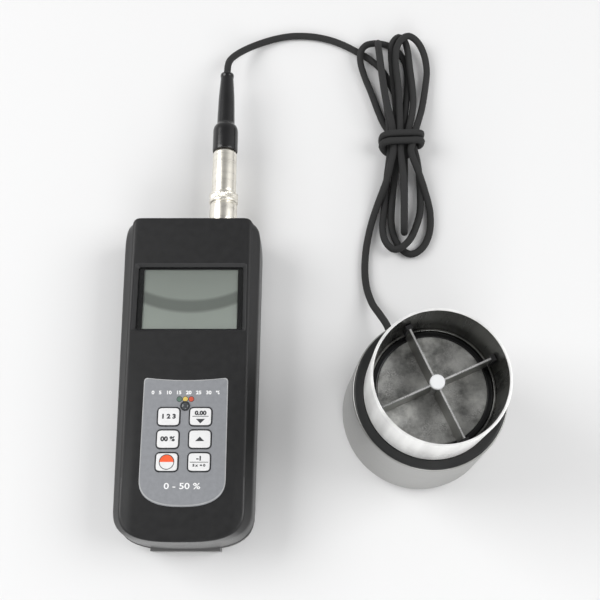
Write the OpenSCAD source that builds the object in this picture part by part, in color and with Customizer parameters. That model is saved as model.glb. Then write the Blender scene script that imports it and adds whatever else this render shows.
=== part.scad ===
// Grain moisture meter: a handset joined by a coaxial lead to a round measuring cup.
// Both stand on Z = 0. The handset lies on its back along Y at the left, with the lead
// leaving its far end, and the cup stands at the right.

/* [Handset case] */
// Length of the case along Y
case_len = 161; // [158:0.5:164]
// Width of the case across its display end
case_top_w = 69.5; // [67:0.5:70]
// Width of the case across its keypad end
case_bot_w = 64.6; // [63:0.2:66]
// Thickness of the case, back to face
case_h = 32; // [31.5:0.1:33]
// Height of the seam between the rear and front shells
seam_z = 11; // [10.5:0.1:11.4]
// Wall of both shells
wall = 2.2; // [2:0.1:2.4]

/* [Display] */
// Width of the recess in the face, across X
recess_w = 55.6; // [54:0.2:56]
// Height of the recess in the face, along Y
recess_h = 35.2; // [34:0.2:35.4]
// Width of the visible part of the display
view_w = 46.6; // [45:0.2:47]
// Height of the visible part of the display
view_h = 30.8; // [30:0.2:31]

/* [Keypad] */
// Width of a key
key_w = 10.7; // [10.3:0.1:11.2]
// Height of a key
key_h = 8.9; // [8.6:0.1:9.3]
// Distance between the two columns of keys
key_pitch_x = 15; // [14.6:0.1:15.4]
// Distance between the rows of keys
key_pitch_y = 10.6; // [10.4:0.1:11]
// How far a key goes down
key_travel = 0.4; // [0.3:0.05:0.45]

/* [Lead] */
// Outside diameter of the lead
lead_d = 3.8; // [3.6:0.1:3.8]
// Thickness of the tied hank
hank_h = 16; // [12:0.2:18]

/* [Measuring cup] */
// Height of the cup, feet to rim
cup_h = 88; // [86:0.5:90]
// Radius of the can at its foot
can_r = 37.2; // [37:0.1:37.6]
// Radius of the black collar
collar_r = 34.3; // [34.2:0.05:34.35]
// Radius of the cup inside
bowl_r = 28.2; // [28.1:0.05:28.3]
// Angle of the first vane from X
vane_a = 24; // [0:1:45]
// Thickness of a vane
vane_t = 1; // [0.8:0.1:1.2]

/* [Hidden] */

$fn = 64;
eps = 0.01;

// Places in the shared frame
meter_x = -57.7;
meter_y = -5.25;
cup_x = 55;
cup_y = -19.6;

// Handset: the plan is straight sided with two superellipse ends, keypad end first
half_len = case_len / 2;
cap_depth = [18, 34];
top_power = 8;
bottom_power = 3;
cap_steps = 24;
chamfer = 4.4;
chamfer_z = 27;
board_z = 15.6;
board_t = 1.6;
board_top = board_z + board_t;
face_in = case_h - wall;
display_y = 38;
screw_x = 27.5;
screw_y = [-58, 66];
boss_r = 3.4;
screw_r = 1.3;
head_r = 2.5;
head_z = 3;

// Keypad
panel_t = 0.85;
panel_y = -32.5;
panel_w = 40;
key_gap = 0.25;
key_row_y = -21;
led_y = -15.9;
led_r = 1.9;
key_proud = 0.65;
switch_top = 24.2;

// Batteries: four AAA cells side by side
cell_r = 5.25;
cell_len = 44.5;
cell_pitch = 10.8;
cell_z = 8;
cell_y = -49.6;
cell_shift = 2.1;
bay_w = 45.2;
bay_len = 49.9;
bay_wall = 1.4;
bay_roof = 13.8;
bay_end = cell_y + bay_len / 2 + bay_wall;
door_w = 47;
door_gap = 0.3;
door_t = 1.7;
door_end = cell_y + bay_len / 2 + 2;
lip_w = 33;
lip_t = 2.4;
lip_h = seam_z - door_gap;
lip_proud = 0.5;

// Bayonet socket and plug: one axis along Y, through the far end wall
plug_x = 14;
plug_z = 16.5;
socket_proud = 11;
thread_r = 4.75;
pin_r = 0.68;
ring_r = 7.15;
knurl_r = 7.55;
knurls = 30;
ring_y0 = 3;
ring_knurl_y = 14.2;
ring_y1 = 19.4;
neck_r = 5;
barrel_r = 6.4;
barrel_y1 = 44.4;
boot_r = 6.7;
boot_y1 = 92.3;
boot_tip_r = 3.7;

// Lead: round numbers along each free stretch, in the shared frame
lead_r = lead_d / 2;
lay_z = 1.9;
lead_points = [
    [-43.7, 137, 16.5], [-43.7, 150, 16.5], [-43.7, 163, 16.5], [-43.7, 169.5, 16.5],
    [-43.2, 176, 15], [-41, 182, 11.6], [-36, 189, 7], [-29, 195, 3.6], [-20, 199.5, 2.1],
    [-11, 201.8, lay_z], [-3.5, 202.3, lay_z], [5, 201.7, lay_z], [14, 199.5, lay_z], [22, 196, lay_z],
    [29, 191.8, lay_z], [36, 187, lay_z]
];
tail_points = [
    [39.6, 93.5, lay_z], [36, 80, lay_z], [32.6, 68, lay_z], [31.2, 57, lay_z],
    [32, 47, 2.4], [34.4, 38, 5.2], [37.6, 30.6, 9.6], [40.6, 24.7, 12],
    [42.5, 18.9, 12], [44.9, 11.5, 12]
];
tube_sides = 8;

// Cup: heights of its storeys
foot_h = 1.2;
plate_z = 3.4;
plate_r = 36.2;
spigot_r = 34.8;
collar_z = 55;
collar_seat = 42;
floor_z = 58.8;
disc_r = 24.3;
disc_t = 1.4;
vane_z0 = 60.4;
vane_z1 = 75;
vane_r = 26;
post_r = 2.2;
pillar_n = 3;
pillar_ring = 22;
cup_board_z = 22;
gland_a = 108;
gland_z = 12;

// ---- Handset shapes ----

function half_w(y) = (case_bot_w + (case_top_w - case_bot_w) * (y / case_len + 0.5)) / 2;

// Signed power, which rounds a circle's sine and cosine towards a square
function spow(v, p) = sign(v) * pow(abs(v), p);

// One point of an end: side is 1 at the display end and -1 at the keypad end
function cap_point(t, g, end_g, side, power) =
    let (depth = cap_depth[max(side, 0)])
    let (y = side * (half_len - depth + (depth - end_g) * pow(abs(sin(t)), 2 / power)))
    [(half_w(y) - g) * spow(cos(t), 2 / power), y];

// The long sides are inset by g, the display end by far and the keypad end by near
function case_outline(g, far, near) = concat(
    [for (i = [0 : cap_steps]) cap_point(180 * i / cap_steps, g, far, 1, top_power)],
    [for (i = [0 : cap_steps]) cap_point(180 + 180 * i / cap_steps, g, near, -1, bottom_power)]
);

module taper_slab(g, far, near, z0, z1) {
    translate([0, 0, z0]) linear_extrude(z1 - z0) polygon(case_outline(g, far, near));
}

module slab(g, z0, z1) {
    taper_slab(g, g, g, z0, z1);
}

module in_handset() {
    translate([meter_x, meter_y, 0]) children();
}

// A box centred in X and Y on [x, y], from z0 to z1
module block(x, y, w, h, z0, z1) {
    translate([x - w / 2, y - h / 2, z0]) cube([w, h, z1 - z0]);
}

// A box centred in X alone, from y0 to y1 and z0 to z1
module strip(w, y0, y1, z0, z1) {
    translate([-w / 2, y0, z0]) cube([w, y1 - y0, z1 - z0]);
}

// A rectangle with round corners, centred
module round_rect(w, h, r) {
    square([w - 2 * r, h], center = true);
    square([w, h - 2 * r], center = true);
    for (sx = [-1, 1], sy = [-1, 1]) translate([sx * (w / 2 - r), sy * (h / 2 - r)]) circle(r);
}

module at_screws() {
    for (sx = [-1, 1], y = screw_y) translate([sx * screw_x, y, 0]) children();
}

function key_place(column, row) = [column * key_pitch_x / 2, key_row_y - row * key_pitch_y];

module at_keys() {
    for (column = [-1, 1], row = [0 : 2]) translate(key_place(column, row)) children();
}

// The shapes along the bayonet's axis are drawn upright and laid along +Y
module on_plug_axis() {
    in_handset() translate([plug_x, half_len, plug_z]) rotate([-90, 0, 0]) children();
}

module tube(r_out, r_in, y0, y1) {
    translate([0, 0, y0]) difference() {
        cylinder(r = r_out, h = y1 - y0);
        translate([0, 0, -1]) cylinder(r = r_in, h = y1 - y0 + 2);
    }
}

module rear_case() {
    color([0.13, 0.13, 0.14]) in_handset() difference() {
        union() {
            difference() {
                hull() {
                    slab(2.4, 0, 0.6);
                    slab(0, 6.5, seam_z);
                }
                hull() {
                    slab(2.4 + wall, wall, wall + 0.5);
                    slab(wall, 6.5 + wall, seam_z + 1);
                }
            }
            // Walls of the bay: part of the shell below the seam, and clear of the front shell above it
            for (level = [[wall - 0.2, wall - eps, seam_z], [wall + 0.15, seam_z - eps, bay_roof + 1.2]])
                intersection() {
                    strip(bay_w + 2 * bay_wall, -half_len, bay_end, level[1], level[2]);
                    slab(level[0], 0, case_h);
                }
            at_screws() translate([0, 0, wall - eps]) cylinder(r = boss_r, h = board_z - wall);
        }
        // Bay for the cells, open at the back
        block(0, cell_y, bay_w, bay_len, -1, bay_roof);
        // Seat of the door and the notch for its lip
        strip(door_w + 2 * door_gap, -half_len - 4, door_end + door_gap, -1, 0.2 + door_t + 0.5);
        strip(lip_w + 2 * door_gap, -half_len - 4, -half_len + lip_t + door_gap, -1, seam_z + 1);
        at_screws() {
            translate([0, 0, -1]) cylinder(r = head_r + 0.2, h = head_z + 1);
            cylinder(r = screw_r + 0.2, h = board_z + 1);
        }
    }
}

module front_case() {
    color([0.13, 0.13, 0.14]) in_handset() difference() {
        union() {
            difference() {
                hull() {
                    slab(0, seam_z, chamfer_z);
                    taper_slab(chamfer, 0.8, 2.4, case_h - 0.4, case_h);
                }
                hull() {
                    slab(wall, seam_z - 1, chamfer_z - 1.5);
                    taper_slab(chamfer + 1.4, 0.8 + wall, 2.4 + wall, face_in - 0.5, face_in);
                }
            }
            at_screws() translate([0, 0, board_top]) cylinder(r = boss_r, h = face_in - board_top + 0.5);
        }
        // Recess and window of the display
        hull() {
            block(0, display_y, recess_w, recess_h, case_h, case_h + 1);
            block(0, display_y, recess_w - 3.6, recess_h - 3, face_in - 0.1, face_in);
        }
        // Bed of the keypad panel, its keys and its lamp
        translate([0, 0, case_h - panel_t]) linear_extrude(5) panel_plan(0.1);
        at_keys() translate([0, 0, face_in - 1])
            linear_extrude(5) round_rect(key_w + 2 * key_gap, key_h + 2 * key_gap, 2.2);
        translate([0, led_y, face_in - 1]) cylinder(r = led_r + 0.1, h = 5);
        at_screws() translate([0, 0, board_z]) cylinder(r = screw_r, h = 10);
        // Hole for the socket through the far end wall
        translate([plug_x, half_len - 5, plug_z]) rotate([-90, 0, 0]) cylinder(r = thread_r + 0.1, h = 10);
    }
}

module battery_door() {
    color([0.12, 0.12, 0.13]) in_handset() {
        intersection() {
            strip(door_w, -half_len, door_end, 0.2, 0.2 + door_t);
            slab(1.8, 0, 4);
        }
        strip(lip_w, -half_len - lip_proud, -half_len + lip_t, 0.2, lip_h);
        // Finger ridges on the back
        for (i = [0 : 4]) block(0, door_end - 6 - 2.4 * i, 20, 1, 0.05, 0.3);
    }
}

module case_screws() {
    color([0.6, 0.6, 0.62]) in_handset() at_screws() difference() {
        union() {
            translate([0, 0, head_z - 1.8]) cylinder(r = head_r, h = 1.8);
            translate([0, 0, head_z - eps]) cylinder(r = screw_r - 0.05, h = 21);
        }
        for (a = [0, 90]) rotate([0, 0, a]) block(0, 0, 2.6, 0.6, 0, head_z - 0.9);
    }
}

module main_board() {
    color([0.1, 0.35, 0.2]) in_handset() difference() {
        strip(60, -62, 71, board_z, board_top);
        at_screws() translate([0, 0, board_z - 1]) cylinder(r = screw_r + 0.3, h = 4);
    }
}

module board_chips() {
    color([0.08, 0.08, 0.08]) in_handset() {
        block(-12, 4, 14, 14, board_top, board_top + 1.6);
        block(10, 8, 9, 6, board_top, board_top + 1.8);
        block(12, -4, 6, 5, board_top, board_top + 1.8);
        block(20, 60, 5, 9, board_z - 2, board_z);
        translate([-24, 4, board_top]) cylinder(r = 2.5, h = 6);
        translate([-24, -4, board_top]) cylinder(r = 2.5, h = 6);
    }
}

module key_switches() {
    color([0.3, 0.3, 0.32]) in_handset() at_keys() {
        block(0, 0, 6, 6, board_top, board_top + 3.4);
        translate([0, 0, board_top + 3.4 - eps]) cylinder(r = 1.7, h = switch_top - board_top - 3.4);
    }
}

module display_window() {
    color([0.8, 0.85, 0.85, 0.4]) in_handset()
        block(0, display_y, recess_w, recess_h + 2.6, face_in - 1.2, face_in);
}

module display_mask() {
    color([0.04, 0.04, 0.04]) in_handset() difference() {
        block(0, display_y, recess_w, recess_h + 2, face_in - 1.5, face_in - 1.2);
        block(0, display_y + 0.4, view_w, view_h, 0, case_h);
    }
}

module lcd_frame() {
    color([0.1, 0.1, 0.1]) in_handset() difference() {
        block(0, display_y, 56, 39, board_top, face_in - 1.6);
        block(0, display_y, 52.4, 35.4, board_top - 1, face_in - 2);
        block(0, display_y + 0.4, view_w + 1, view_h + 1, board_top, case_h);
    }
}

module lcd_glass() {
    color([0.52, 0.56, 0.52]) in_handset()
        block(0, display_y, 52, 35, face_in - 4.2, face_in - 2);
}

module contact_strips() {
    color([0.75, 0.45, 0.5]) in_handset() for (sy = [-1, 1])
        block(0, display_y + sy * 15.8, 50, 2, board_top, face_in - 4.2);
}

// Plan of the keypad panel: straight sides, a shallow hollow top edge and an arched foot
module panel_plan(g) {
    top = 29.7;
    foot = 17.5;
    corner = 1.6;
    hollow = 1.1;
    arch = 12.5;
    edge = panel_w / 2 - corner;
    top_y = panel_y + top + g;
    polygon(concat(
        [for (i = [0 : 10]) let (u = 1 - i / 5) [u * edge, top_y - hollow * (1 - u * u)]],
        [for (i = [1 : 5]) let (t = 90 + 18 * i)
            [-edge - g + corner * cos(t), top_y - corner + corner * sin(t)]],
        [for (i = [0 : 24]) let (t = 180 + 7.5 * i)
            [(panel_w / 2 + g) * spow(cos(t), 0.8), panel_y - foot + (arch + g) * spow(sin(t), 0.8)]],
        [for (i = [0 : 4]) let (t = 18 * i)
            [edge + g + corner * cos(t), top_y - corner + corner * sin(t)]]
    ));
}

module keypad_panel() {
    color([0.56, 0.58, 0.61]) in_handset() difference() {
        translate([0, 0, case_h - panel_t]) linear_extrude(panel_t + 0.1) panel_plan(0);
        at_keys() translate([0, 0, case_h - 3])
            linear_extrude(5) round_rect(key_w + 2 * key_gap, key_h + 2 * key_gap, 2.2);
        translate([0, led_y, case_h - 3]) cylinder(r = led_r + 0.1, h = 5);
    }
}

module status_led() {
    color([0.16, 0.17, 0.18]) in_handset() translate([0, led_y, 0]) {
        for (sx = [-1, 1]) block(1.27 * sx, 0, 0.5, 0.5, board_top, 25 + eps);
        translate([0, 0, 25]) cylinder(r = led_r - 0.4, h = face_in - 25 + eps);
        translate([0, 0, face_in]) cylinder(r = led_r, h = wall);
        translate([0, 0, case_h - eps]) cylinder(r1 = led_r, r2 = led_r - 0.5, h = 0.4);
    }
}

// A key: cap, the shoulder that keeps it in, and the stem over its switch
module key(column, row) {
    color([0.9, 0.9, 0.9]) in_handset() translate(key_place(column, row)) {
        translate([0, 0, face_in - 0.3]) linear_extrude(wall + key_proud + 0.3) round_rect(key_w, key_h, 2);
        translate([0, 0, face_in - 1.5]) linear_extrude(1.3) round_rect(key_w + 1.8, key_h + 0.9, 2);
        translate([0, 0, switch_top + key_travel + 0.1])
            cylinder(r = 2, h = face_in - 1.4 - switch_top - key_travel - 0.1);
    }
}

// Cell i's bay, upright: its positive end is up, and neighbours point opposite ways
module in_bay(i) {
    in_handset() translate([(i - 2.5) * cell_pitch, cell_y, cell_z])
        rotate([i % 2 == 0 ? 90 : -90, 0, 0]) children();
}

module cell(i) {
    color([0.15, 0.3, 0.45]) in_bay(i) translate([0, 0, cell_shift - cell_len / 2]) {
        cylinder(r = cell_r, h = cell_len - 1);
        translate([0, 0, cell_len - 1 - eps]) cylinder(r = 1.9, h = 1);
    }
}

// Each spring is a hollow cone standing for a wire coil
module battery_springs() {
    spring_len = bay_len / 2 + cell_shift - cell_len / 2;
    color([0.7, 0.7, 0.72]) for (i = [1 : 4]) in_bay(i) translate([0, 0, -bay_len / 2]) difference() {
        cylinder(r1 = 3.6, r2 = 2.4, h = spring_len);
        translate([0, 0, -eps]) cylinder(r1 = 3, r2 = 1.8, h = spring_len + 2 * eps);
    }
}

module battery_plates() {
    color([0.78, 0.78, 0.75]) for (i = [1 : 4]) in_bay(i)
        translate([-4, -4, bay_len / 2 - 0.5]) cube([8, 8, 0.5]);
}

// ---- Socket and plug, upright on their axis ----

module socket_body() {
    color([0.78, 0.76, 0.7]) on_plug_axis() {
        difference() {
            union() {
                translate([0, 0, -5.3]) cylinder(r = 7, h = 5 - wall);
                translate([0, 0, -wall - 0.4]) cylinder(r = thread_r, h = wall + socket_proud + 0.4);
                translate([0, 0, 6.2]) rotate([0, 90, 0]) cylinder(r = 0.95, h = 11, center = true);
            }
            translate([0, 0, -4]) cylinder(r = 4.05, h = 20);
            translate([0, 0, -6]) cylinder(r = 2.2, h = 3);
        }
    }
}

module socket_insulator() {
    color([0.9, 0.9, 0.88]) on_plug_axis() {
        tube(2.15, 1.05, -4.5, 6.5);
        tube(4, 2.15 - eps, -3.9, 1.4);
    }
}

module socket_contact() {
    color([0.85, 0.7, 0.35]) on_plug_axis() {
        tube(1, pin_r + 0.04, -1, 6);
        translate([0, 0, -9]) cylinder(r = 1, h = 8 + eps);
    }
}

module socket_washer() {
    color([0.7, 0.69, 0.66]) on_plug_axis() tube(7, thread_r + 0.05, 0, 0.5);
}

module socket_nut() {
    color([0.78, 0.76, 0.7]) on_plug_axis() translate([0, 0, 0.5]) difference() {
        cylinder(r = 7.1, h = 2, $fn = 6);
        translate([0, 0, -1]) cylinder(r = thread_r + 0.05, h = 4);
    }
}

module plug_barrel() {
    color([0.78, 0.75, 0.66]) on_plug_axis() difference() {
        union() {
            tube(3.95, 3.4, 2, 12);
            translate([0, 0, 11.2]) cylinder(r = neck_r, h = ring_y1 - 11.2 + 1);
            translate([0, 0, ring_y1 + 0.3]) cylinder(r = barrel_r, h = barrel_y1 - ring_y1 - 0.3);
            translate([0, 0, barrel_y1 - eps]) cylinder(r = 5.4, h = 12);
        }
        translate([0, 0, 10]) cylinder(r = 3.4, h = 14);
        translate([0, 0, 23]) cylinder(r = lead_r + 0.1, h = 40);
    }
}

module plug_insulator() {
    color([0.92, 0.92, 0.9]) on_plug_axis() tube(3.35, pin_r + 0.02, 12, 23.9);
}

module plug_pin() {
    color([0.85, 0.7, 0.35]) on_plug_axis() {
        translate([0, 0, 1.4]) cylinder(r1 = 0.3, r2 = pin_r, h = 1);
        translate([0, 0, 2.4 - eps]) cylinder(r = pin_r, h = 21.4);
    }
}

module coupling_ring() {
    color([0.8, 0.77, 0.69]) on_plug_axis() difference() {
        union() {
            translate([0, 0, ring_y0]) cylinder(r1 = ring_r - 0.8, r2 = ring_r, h = 0.8);
            translate([0, 0, ring_y0 + 0.8 - eps]) cylinder(r = ring_r, h = ring_knurl_y - ring_y0 - 1);
            translate([0, 0, ring_knurl_y - 1]) cylinder(r = ring_r - 0.5, h = 2);
            translate([0, 0, ring_knurl_y]) cylinder(r = knurl_r, h = ring_y1 - ring_knurl_y);
        }
        translate([0, 0, ring_y0 - 1]) cylinder(r = 5.8, h = ring_knurl_y - ring_y0 - 0.6);
        translate([0, 0, ring_y0]) cylinder(r = neck_r + 0.05, h = 30);
        // Grooves of the knurled grip
        for (i = [0 : knurls - 1]) rotate([0, 0, 360 * i / knurls])
            translate([knurl_r + 0.15, 0, ring_knurl_y + 0.8])
                cylinder(r = 0.45, h = ring_y1 - ring_knurl_y - 1.6);
    }
}

module plug_boot() {
    color([0.08, 0.08, 0.08]) on_plug_axis() rotate_extrude() polygon([
        [5.42, barrel_y1 + 0.02], [boot_r, barrel_y1 + 0.02], [boot_r, 57], [6.3, 59], [5.4, 60.4],
        [4.8, 61.4], [4.3, 78], [boot_tip_r, boot_y1 - 1.4], [boot_tip_r - 0.5, boot_y1 - 0.3],
        [boot_tip_r - 1.2, boot_y1], [lead_r + 0.06, boot_y1], [lead_r + 0.06, 56.5], [5.42, 56.5]
    ]);
}

// ---- Lead ----

// Point on a Catmull-Rom curve through p at parameter s, where whole numbers are the points
function knot(p, i) = p[max(0, min(len(p) - 1, i))];
function curve(p, s) =
    let (i = min(floor(s), len(p) - 2), u = s - i)
    let (a = knot(p, i - 1), b = knot(p, i), c = knot(p, i + 1), d = knot(p, i + 2))
    0.5 * (2 * b + (c - a) * u + (2 * a - 5 * b + 4 * c - d) * u * u + (3 * b - 3 * c + d - a) * u * u * u);

function unit(v) = v / norm(v);
function heading(p, s) =
    unit(curve(p, min(s + 0.02, len(p) - 1)) - curve(p, max(s - 0.02, 0)));

// A ring of the tube: its sides stand square to the path
function ring(p, s, r) =
    let (h = heading(p, s), side = unit(cross(h, [0, 0, 1])), up = cross(side, h), c = curve(p, s))
    [for (k = [0 : tube_sides - 1]) let (a = 360 * (k + 0.5) / tube_sides)
        c + r * cos(a) * side + r * sin(a) * up];

// Two steps between neighbouring points keep the rings two to three diameters apart
module sweep(p, r) {
    steps = 2 * (len(p) - 1);
    rings = [for (i = [0 : steps]) ring(p, i / 2, r)];
    polyhedron(
        points = [for (one = rings) each one],
        faces = concat(
            [[for (k = [0 : tube_sides - 1]) k]],
            [for (i = [0 : steps - 1], k = [0 : tube_sides - 1])
                let (n = (k + 1) % tube_sides, a = i * tube_sides, b = a + tube_sides)
                [a + k, b + k, b + n, a + n]],
            [[for (k = [0 : tube_sides - 1]) (steps + 1) * tube_sides - 1 - k]]
        )
    );
}

module lead_to_hank() {
    color([0.07, 0.07, 0.07]) sweep(lead_points, lead_r);
}

module lead_to_cup() {
    color([0.07, 0.07, 0.07]) sweep(tail_points, lead_r);
}

// The hank's outer shape: two round bunches of loops drawn in at a tied waist
module lead_hank() {
    color([0.09, 0.09, 0.09]) linear_extrude(hank_h) {
        translate([50, 180]) circle(20.4);
        translate([54, 81.5]) circle(16.5);
        polygon([
            [29.8, 177], [40.5, 141], [40.5, 127], [37.6, 84],
            [70.4, 84], [64.8, 127], [64.8, 141], [70.3, 177]
        ]);
    }
}

// ---- Measuring cup ----

module in_cup() {
    translate([cup_x, cup_y, 0]) children();
}

module around(n, r, a0 = 90) {
    for (i = [0 : n - 1]) rotate([0, 0, a0 + 360 * i / n]) translate([r, 0, 0]) children();
}

module cup_feet() {
    color([0.06, 0.06, 0.06]) in_cup() around(pillar_n, 29, 30) cylinder(r = 4.5, h = foot_h);
}

module base_plate() {
    color([0.62, 0.62, 0.62]) in_cup() difference() {
        union() {
            translate([0, 0, foot_h]) cylinder(r = plate_r, h = plate_z - foot_h);
            translate([0, 0, plate_z - eps]) cylinder(r = spigot_r, h = 3);
        }
        around(pillar_n, pillar_ring) {
            cylinder(r = 1.6, h = 10);
            cylinder(r = 3, h = foot_h + 2);
        }
    }
}

// Slightly conical can, with a counterbore at its top for the collar
module base_can() {
    color([0.7, 0.7, 0.69]) in_cup() difference() {
        rotate_extrude($fn = 96) polygon([
            [spigot_r + 0.1, plate_z], [can_r, plate_z], [can_r, 6], [collar_r + 0.7, collar_z - 0.6],
            [collar_r + 0.3, collar_z], [collar_r + 0.05, collar_z], [collar_r + 0.05, collar_seat],
            [32.4, collar_seat], [32.8, 9], [spigot_r + 0.1, 7]
        ]);
        rotate([0, 0, gland_a]) translate([20, 0, gland_z]) rotate([0, 90, 0]) cylinder(r = 3.25, h = 30);
    }
}

module base_screws() {
    color([0.6, 0.6, 0.62]) in_cup() around(pillar_n, pillar_ring) {
        translate([0, 0, foot_h + 0.2]) cylinder(r = 2.8, h = 1.8);
        translate([0, 0, foot_h + 2 - eps]) cylinder(r = 1.45, h = 9);
    }
}

module board_pillars() {
    color([0.8, 0.7, 0.4]) in_cup() around(pillar_n, pillar_ring) difference() {
        translate([0, 0, plate_z + 3]) cylinder(r = 3, h = cup_board_z - plate_z - 3, $fn = 6);
        translate([0, 0, 0]) cylinder(r = 1.5, h = 30);
    }
}

module cup_board() {
    color([0.1, 0.35, 0.2]) in_cup() translate([0, 0, cup_board_z]) difference() {
        cylinder(r = 27, h = board_t);
        around(pillar_n, pillar_ring) translate([0, 0, -1]) cylinder(r = 1.6, h = 4);
    }
}

module cup_chips() {
    color([0.08, 0.08, 0.08]) in_cup() {
        block(-6, 4, 9, 7, cup_board_z + board_t, cup_board_z + board_t + 1.8);
        block(8, -6, 6, 6, cup_board_z + board_t, cup_board_z + board_t + 1.8);
        block(9, 8, 5, 3, cup_board_z + board_t, cup_board_z + board_t + 1.2);
    }
}

module board_screws() {
    color([0.6, 0.6, 0.62]) in_cup() around(pillar_n, pillar_ring) {
        translate([0, 0, cup_board_z + board_t]) cylinder(r = 2.6, h = 1.6);
        translate([0, 0, cup_board_z - 5]) cylinder(r = 1.45, h = board_t + 5 + eps);
    }
}

// Rubber gland and strain relief, pointing out through the can's wall
module cable_gland() {
    color([0.07, 0.07, 0.07]) in_cup() rotate([0, 0, gland_a])
        translate([0, 0, gland_z]) rotate([0, 90, 0]) rotate_extrude() polygon([
            [lead_r + 0.06, 30.6], [4.3, 30.6], [4.3, 32.2], [3.2, 32.4], [3.2, 37.3], [4.7, 37.3],
            [4.7, 38.4], [3.5, 39.2], [2.9, 42.4], [2.5, 43], [lead_r + 0.06, 43]
        ]);
}

// Black insulating collar between the can and the sleeve, with the shelf for the cup's floor
module collar_ring() {
    color([0.06, 0.06, 0.07]) in_cup() rotate_extrude($fn = 96) polygon([
        [22, 39], [32.2, 39], [32.2, collar_seat + 0.05], [collar_r, collar_seat + 0.05],
        [collar_r, collar_z - 0.3], [collar_r - 0.3, collar_z], [29.3, collar_z], [29.3, 43], [22, 43]
    ]);
}

// Open sleeve that makes the cup's wall and its outer electrode
module cup_sleeve() {
    color([0.8, 0.8, 0.79]) in_cup() rotate_extrude($fn = 96) polygon([
        [bowl_r, 43.05], [29.2, 43.05], [29.2, collar_z + 0.05], [30, collar_z + 0.05],
        [30, collar_z + 1], [29.5, cup_h - 2], [29.5, cup_h - 0.4], [29.1, cup_h],
        [bowl_r + 0.3, cup_h], [bowl_r, cup_h - 0.4]
    ]);
}

module floor_block() {
    color([0.08, 0.08, 0.09]) in_cup() difference() {
        translate([0, 0, 43.05]) cylinder(r = bowl_r - 0.05, h = floor_z - 43.05);
        cylinder(r = post_r + 0.05, h = 90);
        translate([9, 0, 40]) cylinder(r = 1.7, h = 30);
    }
}

module floor_disc() {
    color([0.5, 0.5, 0.48]) in_cup() translate([0, 0, floor_z]) difference() {
        cylinder(r = disc_r, h = disc_t);
        translate([0, 0, -1]) cylinder(r = post_r + 0.05, h = 5);
    }
}

module floor_seal() {
    color([0.04, 0.04, 0.04]) in_cup() tube(27, disc_r + 0.05, floor_z, floor_z + 1.2);
}

module retaining_ring() {
    color([0.7, 0.7, 0.68]) in_cup() tube(bowl_r - 0.05, 27.05, floor_z, floor_z + 2.2);
}

module temperature_sensor() {
    color([0.2, 0.2, 0.22]) in_cup() translate([9, 0, 46]) cylinder(r = 1.6, h = floor_z - 46);
}

module center_post() {
    color([0.7, 0.7, 0.7]) in_cup() translate([0, 0, 38]) cylinder(r = post_r, h = vane_z1 - 38.4);
}

module post_nut() {
    color([0.7, 0.7, 0.68]) in_cup() translate([0, 0, 40]) difference() {
        cylinder(r = 4, h = 3, $fn = 6);
        translate([0, 0, -1]) cylinder(r = post_r + 0.05, h = 6);
    }
}

module post_cap() {
    color([0.92, 0.92, 0.92]) in_cup() translate([0, 0, vane_z1 + 0.05]) {
        cylinder(r = 3.3, h = 1.6);
        translate([0, 0, 1.6 - eps]) cylinder(r1 = 3.3, r2 = 2.7, h = 0.5);
    }
}

// Four upright plates between the post and the wall
module vanes() {
    color([0.6, 0.6, 0.59]) in_cup() rotate([0, 0, vane_a]) for (a = [0 : 90 : 270]) rotate([0, 0, a])
        translate([post_r + 0.1, -vane_t / 2, vane_z0])
            cube([vane_r - post_r - 0.1, vane_t, vane_z1 - vane_z0]);
}

module vane_spacers() {
    color([0.05, 0.05, 0.05]) in_cup() rotate([0, 0, vane_a]) for (a = [0 : 90 : 270]) rotate([0, 0, a])
        translate([vane_r, -1.5, 66]) cube([1.9, 3, vane_z1 - 65.4]);
}

rear_case();
front_case();
battery_door();
case_screws();
main_board();
board_chips();
key_switches();
display_window();
display_mask();
lcd_frame();
lcd_glass();
contact_strips();
keypad_panel();
status_led();
key(-1, 0);  // key_select
key(1, 0);  // key_zero
key(-1, 1);  // key_read
key(1, 1);  // key_up
key(-1, 2);  // key_power
key(1, 2);  // key_delete
cell(1);  // battery_1
cell(2);  // battery_2
cell(3);  // battery_3
cell(4);  // battery_4
battery_springs();
battery_plates();
socket_body();
socket_insulator();
socket_contact();
socket_washer();
socket_nut();
plug_barrel();
plug_insulator();
plug_pin();
coupling_ring();
plug_boot();
lead_to_hank();
lead_hank();
lead_to_cup();
cup_feet();
base_plate();
base_can();
base_screws();
board_pillars();
cup_board();
cup_chips();
board_screws();
cable_gland();
collar_ring();
cup_sleeve();
floor_block();
floor_disc();
floor_seal();
retaining_ring();
temperature_sensor();
center_post();
post_nut();
post_cap();
vanes();
vane_spacers();
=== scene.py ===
"""Grain moisture meter: a handset, a coaxial lead tied as a hank, and a round measuring cup.

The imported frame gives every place. Sizes inside the classes are millimetres unless a name says
otherwise, and MM turns them into metres as a mesh is made. Each class makes and dresses the
pieces of one sub-assembly, and main() builds them in order.
"""

import logging
import math
from collections.abc import Callable, Sequence
from dataclasses import dataclass, field
from enum import Enum

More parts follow.
